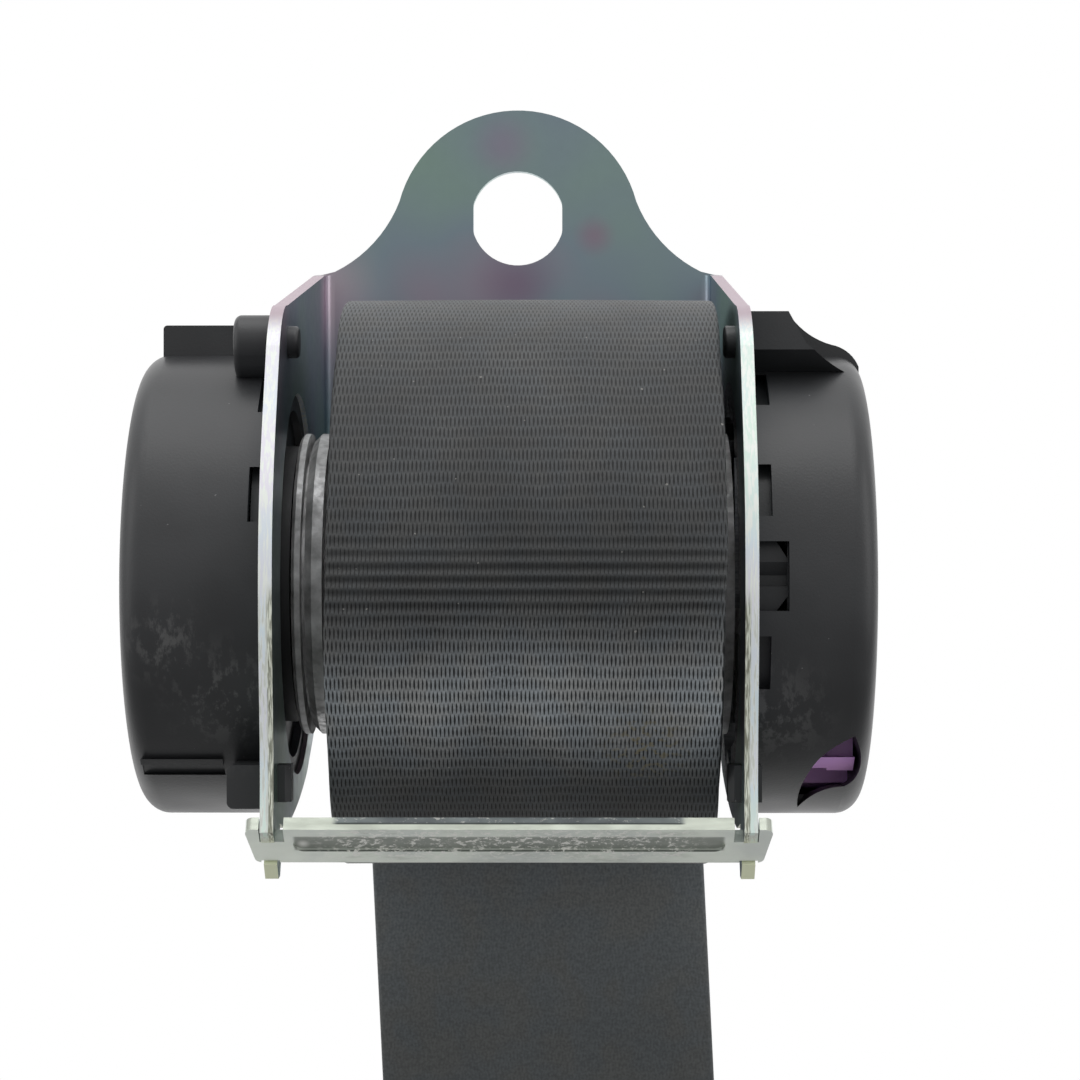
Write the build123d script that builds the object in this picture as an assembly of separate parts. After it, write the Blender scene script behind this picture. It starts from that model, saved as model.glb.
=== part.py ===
from build123d import *
import os
from math import atan2, cos, degrees, hypot, radians, sin, sqrt

# An emergency-locking seat belt retractor with its rolled webbing and latch tongue.
# A folded steel frame with a bolt tab carries a die-cast spool. A spiral spring in the left
# cover winds the webbing in. In the right cover a ball under a lever, and a small inertia
# lever on the clutch wheel, each stop the clutch wheel, whose slot then drives the lock dog
# into the toothed ring of the frame.
#
# Everything is drawn about the spool's axis: X to the right along the axis, Y from front to
# back, Z up. The finished pieces are moved so that the origin is the centre of the mounting
# hole at the back face of the frame. Millimetres and degrees throughout.

# Webbing
webbing_width = 47.0
webbing_thickness = 1.2
roll_radius = 36.2
roll_centre_x = 1.9
strand_gap = 0.3
strand_centre_x = 0.96
strand_skew = 2.78
strand_length = 115.0
stitched_length = 30.0
loop_radius = 2.6
fold_height = 9.0

# Frame
steel = 1.6
frame_width = webbing_width + 11.5
back_face_y = 41.4
bend_radius = 3.0
shoulder_z = 43.4
back_bottom_z = -12.0
hole_z = 51.8
hole_width = 12.75
hole_height = 13.5
hole_round = 6.65
hole_corner = 2.5
tab_radius = 17.6
tab_top_z = 67.3
wall_hole_radius = 24.5
pin_y = -14.0
pin_above = 0.75
pin_radius = 2.0
pin_proud = 1.4
snap_share_y = 26.2 / 29.4
snap_proud = 1.6
snap_share_z = 23.4 / 29.4
snap_width = 3.2
snap_height = 4.4

# Tie bar
bar_thickness = 1.75
bar_height = 6.8
bar_length = frame_width + 3.8
bar_lean = 49.5
bar_front_y = -33.0
bar_front_z = -28.34
bar_taper = 1.0
bar_notch_depth = 2.5
bar_notch_width = 2.9
bead_length = frame_width - 7.5
bead_width = 2.6
bead_depth = 0.45

# Clearances
slide_gap = 0.05
part_gap = 0.3

# Spool
core_radius = 15.0
left_side_gap = 1.5
right_side_gap = 0.3
flange_radius = 19.3
flange_step = 0.9
flange_thickness = 2.2
disc_thickness = 1.1
disc_groove = 0.5
journal_radius = 7.5
drive_size = 7.0
drive_length = 12.75
bar_bore_radius = 4.45
hub_radius = 6.5
dog_pivot_radius = 12.0
pivot_pin_radius = 1.6
torsion_radius = 3.6
stub_radius = 3.0
webbing_pin_radius = 1.6
pin_pocket_radius = 3.2
pin_pocket_offset = 9.4
webbing_slot = 1.9

# Left cover and spring
cover_radius = 29.4
cover_wall = 1.8
rim_radius = 3.0
left_cover_depth = 17.45
boss_length = 5.0
boss_wall = 1.35
ledge_above = 8.4
rib_root = 9.4
ledge_height = 0.75
ledge_proud = 0.45
base_thickness = 1.8
collar_radius = 17.7
collar_wall = 1.8
arbor_radius = 6.5
arbor_gap = 3.15
arbor_flange = 0.8
spring_strip = 0.45
spring_outer = 26.6
spring_turns = 7

# Lock
ring_radius = 26.0
ring_root_radius = 24.0
ring_tip_radius = 21.6
ring_teeth = 15
ring_phase = 17.3
dog_thickness = 1.5
dog_nose_radius = 20.7
dog_nose_angle = 50.0
dog_swing = 14.0
follower_radius = 1.1

# Clutch wheel and inertia lever
clutch_gap = 0.35
clutch_web = 1.5
clutch_depth = 2.8
clutch_rim_inner = 18.9
clutch_root_radius = 19.8
clutch_tip_radius = 21.8
clutch_teeth = 24
clutch_phase = 7.3
clutch_turn = 15.0
inertia_gap = 1.8
inertia_thickness = 1.3
inertia_pivot_radius = 9.0
gear_teeth = 24
gear_phase = 11.8
gear_tip_radius = 16.6
gear_root_radius = 17.9
gear_outer_radius = 18.6

# Mechanism housing, sensor and right cover
right_cover_depth = 14.75
housing_depth = 3.85
housing_wall = 1.2
housing_skirt = 1.5
ball_radius = 3.5
ball_depth = 8.95
ball_z = -20.5
sensor_front_y = -18.5
sensor_back_y = 11.5
sensor_top_z = -13.2
sensor_lip_z = -21.0
sensor_lip_height = 1.8
lever_pivot_y = 7.5
lever_pivot_z = -16.0
lever_tip_y = -13.0
lever_tip_z = -18.2
lever_pin_radius = 0.8
lever_arm = 1.6

# Latch tongue
tongue_thickness = 3.0
tongue_width = webbing_width + 15.0
tongue_frame_height = 26.0
tongue_slot_width = webbing_width + 3.0
tongue_slot_height = 6.0
tongue_bar_height = 4.0
blade_width = 25.0
blade_length = 38.0
latch_window_width = 12.0
latch_window_height = 16.0
grip_thickness = 9.0

# Sizes that follow
wall_out = frame_width / 2
wall_in = wall_out - steel
back_out_y = back_face_y + steel
core_left_x = roll_centre_x - webbing_width / 2 - left_side_gap
core_right_x = roll_centre_x + webbing_width / 2 + right_side_gap
left_flange_x = core_left_x - flange_thickness
left_disc_x = left_flange_x - disc_groove - disc_thickness
right_flange_x = wall_in - part_gap
drive_end_x = -wall_out - drive_length
left_cover_x = -wall_out - left_cover_depth
arbor_right_x = -wall_out - arbor_gap
clutch_x = wall_out + clutch_gap
clutch_rim_end_x = clutch_x + clutch_depth
inertia_x = clutch_x + inertia_gap
housing_x = wall_out + housing_depth
ball_x = wall_out + ball_depth
right_cover_x = wall_out + right_cover_depth
cover_inner = cover_radius - cover_wall
pin_z = cover_radius + pin_above
snap_y = -cover_radius * snap_share_y
snap_z = -cover_radius * snap_share_z
ledge_z = -cover_radius + ledge_above
strand_y = roll_radius + strand_gap
strand_back_y = strand_y + webbing_thickness


def revolved(points):
    """A solid turned about the X axis from (x, radius) points."""
    profile = Plane.XY * make_face(Polyline(*points, close=True))
    return revolve(profile, Axis.X)


def ring(x0, x1, outer, inner=0.0):
    """A plain ring or disc along X."""
    return revolved([(x0, inner), (x0, outer), (x1, outer), (x1, inner)])


def rod(x0, x1, radius, y=0.0, z=0.0):
    """A round rod along X whose centre line passes through y, z."""
    return Pos(0, y, z) * ring(x0, x1, radius)


def plate(outline, x0, x1):
    """A flat plate along X from an outline drawn in (y, z)."""
    return extrude(Plane.YZ.offset(x0) * make_face(outline), x1 - x0)


def block(x0, x1, y0, y1, z0, z1):
    """A box between its lowest and highest corners."""
    centre = Pos((x0 + x1) / 2, (y0 + y1) / 2, (z0 + z1) / 2)
    return centre * Box(x1 - x0, y1 - y0, z1 - z0)


def polar(radius, angle):
    """The point at a radius and an angle in degrees."""
    return (radius * cos(radians(angle)), radius * sin(radians(angle)))


def turned(point, centre, angle):
    """A point turned about a centre by an angle in degrees."""
    a = radians(angle)
    u, v = point[0] - centre[0], point[1] - centre[1]
    return (centre[0] + u * cos(a) - v * sin(a), centre[1] + u * sin(a) + v * cos(a))


def saw_outline(teeth, low, high, phase, hand=1):
    """A closed saw-toothed outline: each tooth goes slowly from low to high and drops straight."""
    pitch = hand * 360 / teeth
    lean = 0.8
    points = []
    for k in range(teeth):
        points.append(polar(low, phase + k * pitch))
        points.append(polar(high, phase + (k + lean) * pitch))
        points.append(polar(low, phase + (k + lean + 0.06) * pitch))
    return Polyline(*points, close=True)


def bar_place(u, w):
    """The (y, z) place of a point on the tie bar: u along its lean, w out of its front."""
    s, c = sin(radians(bar_lean)), cos(radians(bar_lean))
    return (bar_front_y - u * s - w * c, bar_front_z + u * c - w * s)


def wall_outline():
    """The side wall seen along X: bowed front edge, hooked foot and sloping back."""
    foot = [
        bar_place(-0.3, 0.2),
        bar_place(-bar_notch_depth + 0.1, 0.2),
        bar_place(-bar_notch_depth + 0.1, -bar_thickness - slide_gap),
        bar_place(-bar_height - slide_gap, -bar_thickness - slide_gap),
        bar_place(-bar_height - slide_gap, 0.3),
        bar_place(-bar_height - 2.6, 0.6),
        bar_place(-bar_height - 3.9, -0.7),
        bar_place(-bar_height - 3.6, -3.0),
        bar_place(-bar_height + 0.6, -5.2),
    ]
    brow_foot = (-25.1, 29.0)
    brow_end = (-15.3, 34.6)
    front = Spline(
        brow_foot, (-30.5, 18.0), (-33.2, 10.9), (-34.5, 0.4), (-33.8, -9.5), (-32.5, -19.0), foot[0]
    )
    brow = ThreePointArc(brow_foot, (-21.0, 33.0), brow_end)
    top = Polyline(brow_end, (back_out_y, shoulder_z + 0.5), (back_out_y, back_bottom_z))
    tail = Line((back_out_y, back_bottom_z), (12.0, -25.3))
    belly = ThreePointArc((12.0, -25.3), (-4.0, -28.6), (-18.5, -29.6))
    heel = Line((-18.5, -29.6), foot[-1])
    sole = Polyline(*reversed(foot))
    return front + brow + top + tail + belly + heel + sole


def tab_outline():
    """The back plate seen from the front: round tab flaring down into the two bends."""
    cz = tab_top_z - tab_radius
    neck_z = 54.2
    neck_x = sqrt(tab_radius**2 - (neck_z - cz) ** 2)
    half = wall_out
    bend_x = half - bend_radius
    bend_z = shoulder_z + 0.75
    flare_x = neck_x + 3.6
    crown = ThreePointArc((-neck_x, neck_z), (0, tab_top_z), (neck_x, neck_z))
    right = ThreePointArc((neck_x, neck_z), (flare_x, 48.4), (bend_x, bend_z))
    left = ThreePointArc((-bend_x, bend_z), (-flare_x, 48.4), (-neck_x, neck_z))
    sides = Polyline(
        (bend_x, bend_z),
        (half, shoulder_z),
        (half, back_bottom_z),
        (-half, back_bottom_z),
        (-half, shoulder_z),
        (-bend_x, bend_z),
    )
    return crown + right + sides + left


def mounting_hole():
    """The slightly upright hole of the tab, round above and below with two flat sides."""
    slot = SlotOverall(hole_height, 2 * hole_round, rotation=90) & Rectangle(hole_width, hole_height)
    slot = fillet(slot.vertices(), hole_corner)
    sketch = Plane.XZ.offset(-back_out_y - 1) * Pos(0, hole_z) * slot
    return extrude(sketch, steel + 2)


def channel():
    """The folded U of the frame seen from above, with round bends, taller than the part."""
    depth, height = 2 * back_out_y, 2.2 * tab_top_z
    section = Pos(0, back_out_y - depth / 2) * Rectangle(frame_width, depth)
    section = fillet(section.vertices().group_by(Axis.Y)[-1], bend_radius)
    inside = Pos(0, back_face_y - depth / 2) * Rectangle(2 * wall_in, depth)
    inside = fillet(inside.vertices().group_by(Axis.Y)[-1], bend_radius - steel)
    return extrude(Plane.XY.offset(-height / 2) * (section - inside), height)


def make_frame():
    """One folded plate: back with bolt tab, and two side walls with hooked feet."""
    side_view = plate(wall_outline(), -wall_out - 1, wall_out + 1)
    front_view = extrude(Plane.XZ.offset(-back_out_y) * make_face(tab_outline()), steel)
    body = channel() & (side_view + front_view)
    body -= mounting_hole()
    body -= ring(-wall_out - 1, -wall_in + 1, wall_hole_radius)
    body -= ring(wall_in - 1, wall_out + 1, ring_radius)
    body -= rod(-wall_out - 1, wall_out + 1, pin_radius + slide_gap, pin_y, pin_z)
    half_w, half_h = snap_width / 2 + slide_gap, snap_height / 2 + slide_gap
    for side in (-1, 1):
        body -= block(
            side * (wall_out + wall_in) / 2 - steel,
            side * (wall_out + wall_in) / 2 + steel,
            snap_y - half_w,
            snap_y + half_w,
            snap_z - half_h,
            snap_z + half_h,
        )
    return body


def make_tie_bar():
    """The cross bar: a leaning strip with tapered ends, two open notches and a pressed bead."""
    half = bar_length / 2
    outline = Polyline(
        (-half, 0),
        (-half + bar_taper, -bar_height),
        (half - bar_taper, -bar_height),
        (half, 0),
        close=True,
    )
    bar = extrude(make_face(outline), -bar_thickness)
    bar = fillet(bar.edges().filter_by(Axis.Z), 0.9)
    notch_x = wall_in + 0.3
    nick_x = (wall_in + wall_out) / 2
    for side in (-1, 1):
        slot = Pos(side * notch_x, -bar_notch_depth / 2, 0) * Box(bar_notch_width, bar_notch_depth, 9)
        bar -= slot
        nick = Pos(side * nick_x, -bar_height, 0) * Box(bar_notch_width - 0.7, 0.8, 9)
        bar -= nick
    bead = extrude(Pos(0, -bar_height * 0.47) * SlotOverall(bead_length, bead_width), -bead_depth)
    bar -= bead
    lean = Plane(
        origin=(0, bar_front_y, bar_front_z),
        x_dir=(1, 0, 0),
        z_dir=(0, -cos(radians(bar_lean)), -sin(radians(bar_lean))),
    )
    return lean * bar


def make_spool():
    """The die-cast drum: double left flange, core, right flange and the dog's hub."""
    journal_end_x = -wall_out - base_thickness - 0.15
    groove_x = left_flange_x - disc_groove
    body = revolved(
        [
            (journal_end_x, 0),
            (journal_end_x, journal_radius),
            (left_disc_x, journal_radius),
            (left_disc_x, flange_radius - 0.4),
            (left_disc_x + 0.4, flange_radius),
            (groove_x, flange_radius),
            (groove_x, flange_radius - 3 * flange_step),
            (left_flange_x, flange_radius - 3 * flange_step),
            (left_flange_x, flange_radius - flange_step),
            (left_flange_x + flange_step, flange_radius),
            (core_left_x, flange_radius),
            (core_left_x, core_radius),
            (core_right_x, core_radius),
            (core_right_x, flange_radius),
            (right_flange_x, flange_radius),
            (right_flange_x, hub_radius),
            (clutch_x - part_gap, hub_radius),
            (clutch_x - part_gap, 0),
        ]
    )
    half = drive_size / 2
    body += block(drive_end_x, journal_end_x + 0.1, -half, half, -half, half)
    body += rod(right_flange_x - 1, right_flange_x + dog_thickness + 0.5, pivot_pin_radius, *dog_pivot())
    body -= ring(core_left_x - 1, clutch_x, bar_bore_radius)
    body -= rod(core_left_x, core_right_x, pin_pocket_radius, 0, pin_pocket_offset)
    slot = webbing_slot / 2
    body -= block(core_left_x, core_right_x, -slot, slot, pin_pocket_offset, core_radius + 1)
    return body


def dog_pivot():
    """The (y, z) place of the lock dog's pivot on the spool."""
    return polar(dog_pivot_radius, 180.0)


def make_torsion_bar():
    """The load-limiting bar through the drum, with a stub for the clutch wheel."""
    head = bar_bore_radius - slide_gap
    return revolved(
        [
            (core_left_x - 1, 0),
            (core_left_x - 1, head),
            (core_left_x + 4, head),
            (core_left_x + 6, torsion_radius),
            (core_right_x - 5, torsion_radius),
            (core_right_x - 3, head),
            (clutch_x - part_gap, head),
            (clutch_x - part_gap, stub_radius),
            (housing_x + 4.4, stub_radius),
            (housing_x + 4.9, stub_radius - 0.5),
            (housing_x + 4.9, 0),
        ]
    )


def make_webbing_pin():
    """The steel pin that keeps the webbing's inner loop in the drum."""
    return rod(core_left_x + 0.2, core_right_x - 0.2, webbing_pin_radius, 0, pin_pocket_offset)


def make_roll():
    """The wound webbing, with its inner end passing through the slot and round the pin."""
    x0 = roll_centre_x - webbing_width / 2
    x1 = roll_centre_x + webbing_width / 2
    body = ring(x0, x1, roll_radius, core_radius + slide_gap)
    t = webbing_slot / 2 - slide_gap
    body += block(x0, x1, -t, t, pin_pocket_offset + webbing_pin_radius + 0.6, core_radius + 0.5)
    loop = rod(x0, x1, pin_pocket_radius - slide_gap, 0, pin_pocket_offset)
    body += loop - rod(x0 - 1, x1 + 1, webbing_pin_radius + slide_gap, 0, pin_pocket_offset)
    return body


def make_spring_base():
    """The black plate over the left wall's hole, with the drum's bearing in its middle."""
    x1 = -wall_out
    x0 = x1 - base_thickness
    body = ring(x0, x1, cover_inner - slide_gap)
    body += ring(x1, x1 + 1.0, wall_hole_radius - slide_gap, wall_hole_radius - 2.2)
    body += ring(x0 - 1.0, x1 + steel, journal_radius + 2.5)
    body += ring(x0, left_disc_x - part_gap, collar_radius, collar_radius - collar_wall)
    body -= ring(x0 - 2, x1 + 3, journal_radius + slide_gap)
    return body


def make_arbor():
    """The plastic arbor on the drum's square end that the spring hooks into."""
    x0, x1 = drive_end_x, arbor_right_x
    half = drive_size / 2 + slide_gap
    body = ring(x0, x1, arbor_radius)
    body += ring(x1 - arbor_flange, x1, arbor_radius + 2)
    body += ring(x0, x0 + arbor_flange, arbor_radius + 2)
    body -= block(x0 - 1, x1 + 1, -half, half, -half, half)
    body -= block(x0 + 1.2, x1 - 1.2, arbor_radius - 1.2, arbor_radius + 1, -0.5, 0.5)
    return body


def make_clock_spring():
    """The spiral power spring: a steel strip from the arbor out to the cover."""
    x0 = drive_end_x + arbor_flange + part_gap
    x1 = arbor_right_x - arbor_flange - part_gap
    start, steps = arbor_radius + part_gap, 10 * spring_turns
    inner, outer = [], []
    for k in range(steps + 1):
        r = start + (spring_outer - spring_strip - start) * k / steps
        angle = 360.0 * spring_turns * k / steps
        inner.append(polar(r, angle))
        outer.append(polar(r + spring_strip, angle))
    outer.reverse()
    strip = Spline(*inner) + Line(inner[-1], outer[0]) + Spline(*outer) + Line(outer[-1], inner[0])
    return plate(strip, x0, x1)


def cup(x_mouth, x_end, radius, wall):
    """A round cover open at its mouth, with a rounded outer rim."""
    sign = 1 if x_end > x_mouth else -1
    body = ring(min(x_mouth, x_end), max(x_mouth, x_end), radius)
    rim = body.edges().filter_by(GeomType.CIRCLE).sort_by(Axis.X)[-1 if sign > 0 else 0]
    body = fillet(rim, rim_radius)
    inside = x_end - sign * wall
    hollow = ring(min(x_mouth, inside), max(x_mouth, inside), radius - wall)
    rim = hollow.edges().filter_by(GeomType.CIRCLE).sort_by(Axis.X)[-1 if sign > 0 else 0]
    return body - fillet(rim, rim_radius - wall)


def pin_boss(side):
    """The boss that holds the push pin, run down and back into the round of the cover."""
    lo, hi = sorted((side * wall_out, side * (wall_out + boss_length)))
    drop_y, drop_z = 0.8, -1.25
    section = SlotCenterToCenter(
        hypot(drop_y, drop_z),
        2 * (pin_radius + boss_wall),
        rotation=degrees(atan2(drop_z, drop_y)),
    )
    centre = Pos(pin_y + drop_y / 2, pin_z + drop_z / 2)
    boss = extrude(Plane.YZ.offset(lo) * centre * section, hi - lo)
    end = boss.faces().sort_by(Axis.X)[0 if side < 0 else -1]
    return fillet(end.edges(), 0.9)


def pin_socket(side):
    """The blind hole of the push pin in its boss."""
    lo, hi = sorted((side * (wall_out - 0.1), side * (wall_out + 3.4)))
    return rod(lo, hi, pin_radius + slide_gap, pin_y, pin_z)


def snap_tab(side, arm):
    """The barbed lower tab that goes through the wall, on an arm from the cover."""
    lo, hi = sorted((side * (wall_in - snap_proud), side * (wall_out + arm)))
    y0, y1 = snap_y - snap_width / 2, snap_y + snap_width / 2
    z0, z1 = snap_z - snap_height / 2, snap_z + snap_height / 2
    shank = block(lo, hi, y0, y1, z0, z1)
    tip = shank.faces().sort_by(Axis.X)[0 if side > 0 else -1]
    shank = chamfer(tip.edges().sort_by(Axis.Y)[0], 0.7)
    lo, hi = sorted((side * wall_out, side * (wall_out + arm)))
    foot = block(lo, hi, y0, y1 + 6, z0, z1) - ring(lo - 1, hi + 1, cover_inner)
    return shank + foot


def top_rib(x0, x1):
    """The flat rib over the top of the left cover."""
    rib = block(x0, x1, -4.0, 12.0, cover_radius - rib_root, cover_radius + 3.6)
    rib = fillet(rib.edges().filter_by(Axis.Y).group_by(Axis.Z)[-1].sort_by(Axis.X)[0], 0.5)
    return rib - ring(x0 - 1, x1 + 1, cover_radius - 0.8)


def make_spring_cover():
    """The left cover: a cup with mouth windows, top rib, pin boss, ledge and corner block."""
    body = cup(-wall_out, left_cover_x, cover_radius, cover_wall)
    body += top_rib(left_cover_x + 2.15, -wall_out - 0.75)
    body += pin_boss(-1)
    for z0, z1, depth in ((7.8, 14.4, 1.95), (21.2, 25.7, 1.55)):
        body -= block(-wall_out - depth, -wall_out + 1, -cover_radius, 0, z0, z1)
    x0, x1 = left_cover_x + 1.7, -wall_out - 5.7
    under = ledge_z - ledge_height
    shelf = ring(x0, x1, cover_radius + ledge_proud, cover_inner + 0.9)
    body += shelf & block(x0, x1, -cover_radius, 0, under, ledge_z)
    scoop = ring(x0, x1, cover_radius + 1, cover_radius - ledge_proud)
    body -= scoop & block(x0, x1, -cover_radius, 0, under - 1.4, under)
    x0 = -wall_out - 4.45
    corner = block(x0, -wall_out, snap_y - 1.6, snap_y + 16.2, snap_z - 3.0, snap_z + 2.2)
    corner = fillet(corner.edges().filter_by(Axis.Y).group_by(Axis.X)[0], 0.8)
    body += corner - ring(x0 - 1, -wall_out + 1, cover_inner)
    body += snap_tab(-1, 3.0)
    return body - pin_socket(-1)


def make_push_pin(side):
    """A plastic pin whose tip stands a little proud of the wall's inner face."""
    lo, hi = sorted((side * (wall_in - pin_proud), side * (wall_out + 3.3)))
    pin = rod(lo, hi, pin_radius, pin_y, pin_z)
    end = pin.edges().filter_by(GeomType.CIRCLE).sort_by(Axis.X)[0 if side > 0 else -1]
    return fillet(end, 0.5)


def make_lock_ring():
    """The hardened ring of internal teeth, staked flush into the right wall."""
    outline = saw_outline(ring_teeth, ring_root_radius, ring_tip_radius, ring_phase)
    teeth = plate(outline, wall_in, wall_out)
    body = ring(wall_in, wall_out, ring_radius - slide_gap / 2)
    return body - teeth


def dog_points(swing=0.0):
    """The lock dog's outline in (y, z) before it is turned to its pivot's side."""
    pivot = (dog_pivot_radius, 0.0)
    nose = polar(dog_nose_radius, dog_nose_angle)
    heel = polar(dog_nose_radius - 1.9, dog_nose_angle - 11)
    points = [
        (dog_pivot_radius + 3.0, -1.0),
        polar(dog_nose_radius - 3.9, dog_nose_angle - 28),
        heel,
        nose,
        polar(dog_nose_radius - 3.0, dog_nose_angle + 2),
        polar(dog_nose_radius - 7.4, dog_nose_angle - 10),
        (dog_pivot_radius - 3.2, 1.0),
        (dog_pivot_radius - 1.6, -2.9),
        (dog_pivot_radius + 1.7, -2.8),
    ]
    return [turned(p, pivot, swing) for p in points]


def follower_place(swing=0.0):
    """The dog's follower pin, before it is turned to its pivot's side."""
    pivot = (dog_pivot_radius, 0.0)
    return turned((dog_pivot_radius + 0.6, 8.0), pivot, swing)


def make_lock_dog():
    """The steel dog on the spool's side, with the follower pin that the clutch wheel drives."""
    x0 = right_flange_x + part_gap
    x1 = x0 + dog_thickness
    body = plate(Polyline(*dog_points(), close=True), x0, x1)
    body += rod(x1 - 0.5, clutch_x + clutch_web, follower_radius, *follower_place())
    body = mirror(body, about=Plane.XZ)
    return body - rod(x0 - 1, x1 + 1, pivot_pin_radius + slide_gap, *dog_pivot())


def make_clutch_wheel():
    """The plastic pilot wheel: toothed rim, web with the dog's slot, and a lever pin."""
    x0 = clutch_x
    x1 = clutch_x + clutch_web
    outline = saw_outline(clutch_teeth, clutch_root_radius, clutch_tip_radius, clutch_phase, -1)
    body = plate(outline, x0, clutch_rim_end_x)
    body -= ring(x1, clutch_rim_end_x + 1, clutch_rim_inner)
    body += ring(x1 - 0.1, inertia_x + inertia_thickness + 0.2, stub_radius + 1.8)
    body -= ring(x0 - 1, clutch_rim_end_x + 2, stub_radius + slide_gap)
    start = follower_place()
    end = turned(follower_place(-dog_swing), (0, 0), clutch_turn)
    length = hypot(end[0] - start[0], end[1] - start[1])
    middle = ((start[0] + end[0]) / 2, (start[1] + end[1]) / 2)
    lean = degrees(atan2(end[1] - start[1], end[0] - start[0]))
    slot = Pos(*middle) * SlotCenterToCenter(length, 2 * follower_radius + 0.9, rotation=lean)
    cutter = extrude(Plane.YZ.offset(x0 - 1) * slot, clutch_web + 2)
    body -= mirror(cutter, about=Plane.XZ)
    body += rod(x1 - 0.1, inertia_x + inertia_thickness + 0.3, pivot_pin_radius, *inertia_pivot())
    return body


def inertia_pivot():
    """The (y, z) place of the inertia lever's pivot on the clutch wheel."""
    return polar(inertia_pivot_radius, 160.0)


def make_inertia_lever():
    """The webbing sensor: a weighted lever with a hook that swings out to the ring gear."""
    x0, x1 = inertia_x, inertia_x + inertia_thickness
    place = inertia_pivot()
    outline = [
        polar(inertia_pivot_radius + 3.0, 8),
        polar(inertia_pivot_radius + 3.4, 34),
        polar(14.2, 66),
        polar(15.9, 84),
        polar(13.4, 92),
        polar(9.6, 78),
        polar(6.4, 44),
        polar(6.2, 8),
        polar(8.2, -24),
        polar(13.0, -22),
    ]
    body = mirror(plate(Polyline(*outline, close=True), x0, x1), about=Plane.XZ)
    return body - rod(x0 - 1, x1 + 1, pivot_pin_radius + slide_gap, *place)


def make_mechanism_housing():
    """The inner housing: wall with end bearing, ring gear and skirt round the clutch wheel."""
    x0, x1 = housing_x, housing_x + housing_wall
    outer = cover_inner - slide_gap
    body = ring(x0, x1, outer)
    body += ring(wall_out, x0 + 0.1, outer, outer - housing_skirt)
    outline = saw_outline(gear_teeth, gear_root_radius, gear_tip_radius, gear_phase)
    gear = ring(inertia_x + 0.1, x0 + 0.1, gear_outer_radius) - plate(outline, inertia_x - 1, x0)
    body += gear
    body += ring(x1 - 0.1, x1 + 3.6, stub_radius + 2.4)
    body -= ring(x0 - 1, x1 + 5, stub_radius + slide_gap)
    notch = block(wall_out + 0.8, x1 + 1, lever_tip_y - 6, 0.0, -outer - 1, lever_tip_z + 3.6)
    body -= notch - ring(wall_out, x1 + 2, gear_outer_radius)
    groove_y = -outer + 0.75 * housing_skirt
    groove = [(-outer - 1, 3.3), (-outer, 3.3), (groove_y, 1.4), (groove_y, 0.1), (-outer - 1, 0.1)]
    body -= plate(Polyline(*groove, close=True), wall_out - 1, x0)
    for z, drop in ((5.5, -2.1), (-2.8, 1.7)):
        corner = Polyline((x0 - 1.3, z), (x0, z), (x0, z + drop), close=True)
        body -= extrude(Plane.XZ.offset(outer - housing_skirt - 1) * make_face(corner), housing_skirt + 2)
    return body


def make_sensor_housing():
    """The purple sensor housing: a dish for the ball and two cheeks for the lever."""
    x0, x1 = housing_x + housing_wall, right_cover_x - cover_wall - slide_gap
    front_y = lever_tip_y - lever_arm / 2 - 0.7
    low = -cover_radius
    body = ring(x0, x1, cover_inner - 1.3)
    body &= block(x0, x1, sensor_front_y, sensor_back_y, low, sensor_top_z)
    body -= block(x0 - 1, x1 + 1, low, front_y - 0.5, sensor_lip_z, 0)
    body -= block(x0 - 1, x1 + 1, low, -8.5, low, sensor_lip_z - sensor_lip_height)
    lip = ring(x0 + 1.5, x1, cover_inner - 0.3)
    body += lip & block(x0, x1, low, front_y + 1, sensor_lip_z - sensor_lip_height, sensor_lip_z)
    body -= block(x0 - 1, x1 + 1, front_y, 5.6, -19.8, 0)
    body -= block(x0 + 1.2, x1 - 1.2, 5.5, 12, -18.4, 0)
    body -= block(x0 - 1, x1 + 1, low, front_y + 0.1, -17.4, 0)
    body -= block(x0 - 1, x0 + 4.6, front_y - 1.0, lever_tip_y + 2.6, low, 0)
    reach = ball_radius * sqrt(2) + slide_gap
    floor = 1.3
    dish = Pos(ball_x, 0, ball_z - reach + floor + 3.5) * Cone(floor, floor + 7.0, 7.0)
    body -= dish
    body -= rod(x0 - 1, x1 + 1, lever_pin_radius + slide_gap, lever_pivot_y, lever_pivot_z)
    return body


def make_sensor_ball():
    """The steel ball that rolls up its dish when the vehicle brakes or tilts."""
    return Pos(ball_x, 0, ball_z) * Sphere(ball_radius)


def make_sensor_lever():
    """The lever whose cap lies on the ball and whose tip lifts into the clutch wheel."""
    x0 = housing_x + housing_wall + 1.5
    x1 = right_cover_x - cover_wall - 1.55
    half = lever_arm / 2
    top = lever_pivot_z + 0.6
    under = ball_z + ball_radius + 0.15
    body = block(x0, x1, -3.6, lever_pivot_y, under, top)
    body += block(x0, x0 + 2.4, lever_tip_y - half, -3.5, under, top)
    body += block(x0, x0 + 2.4, lever_tip_y - half, lever_tip_y + half, lever_tip_z - 1.4, top)
    finger = Polyline(
        (lever_tip_y - half, lever_tip_z),
        (lever_tip_y - half, lever_tip_z - 1.4),
        (lever_tip_y + half, lever_tip_z - 1.4),
        (lever_tip_y + half, lever_tip_z - 1.2),
        close=True,
    )
    body += plate(finger, clutch_x + 0.4, x0 + 2.4)
    pin = rod(x0 - 1.5, x1 + 1.5, lever_pin_radius, lever_pivot_y, lever_pivot_z)
    return body + pin


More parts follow.
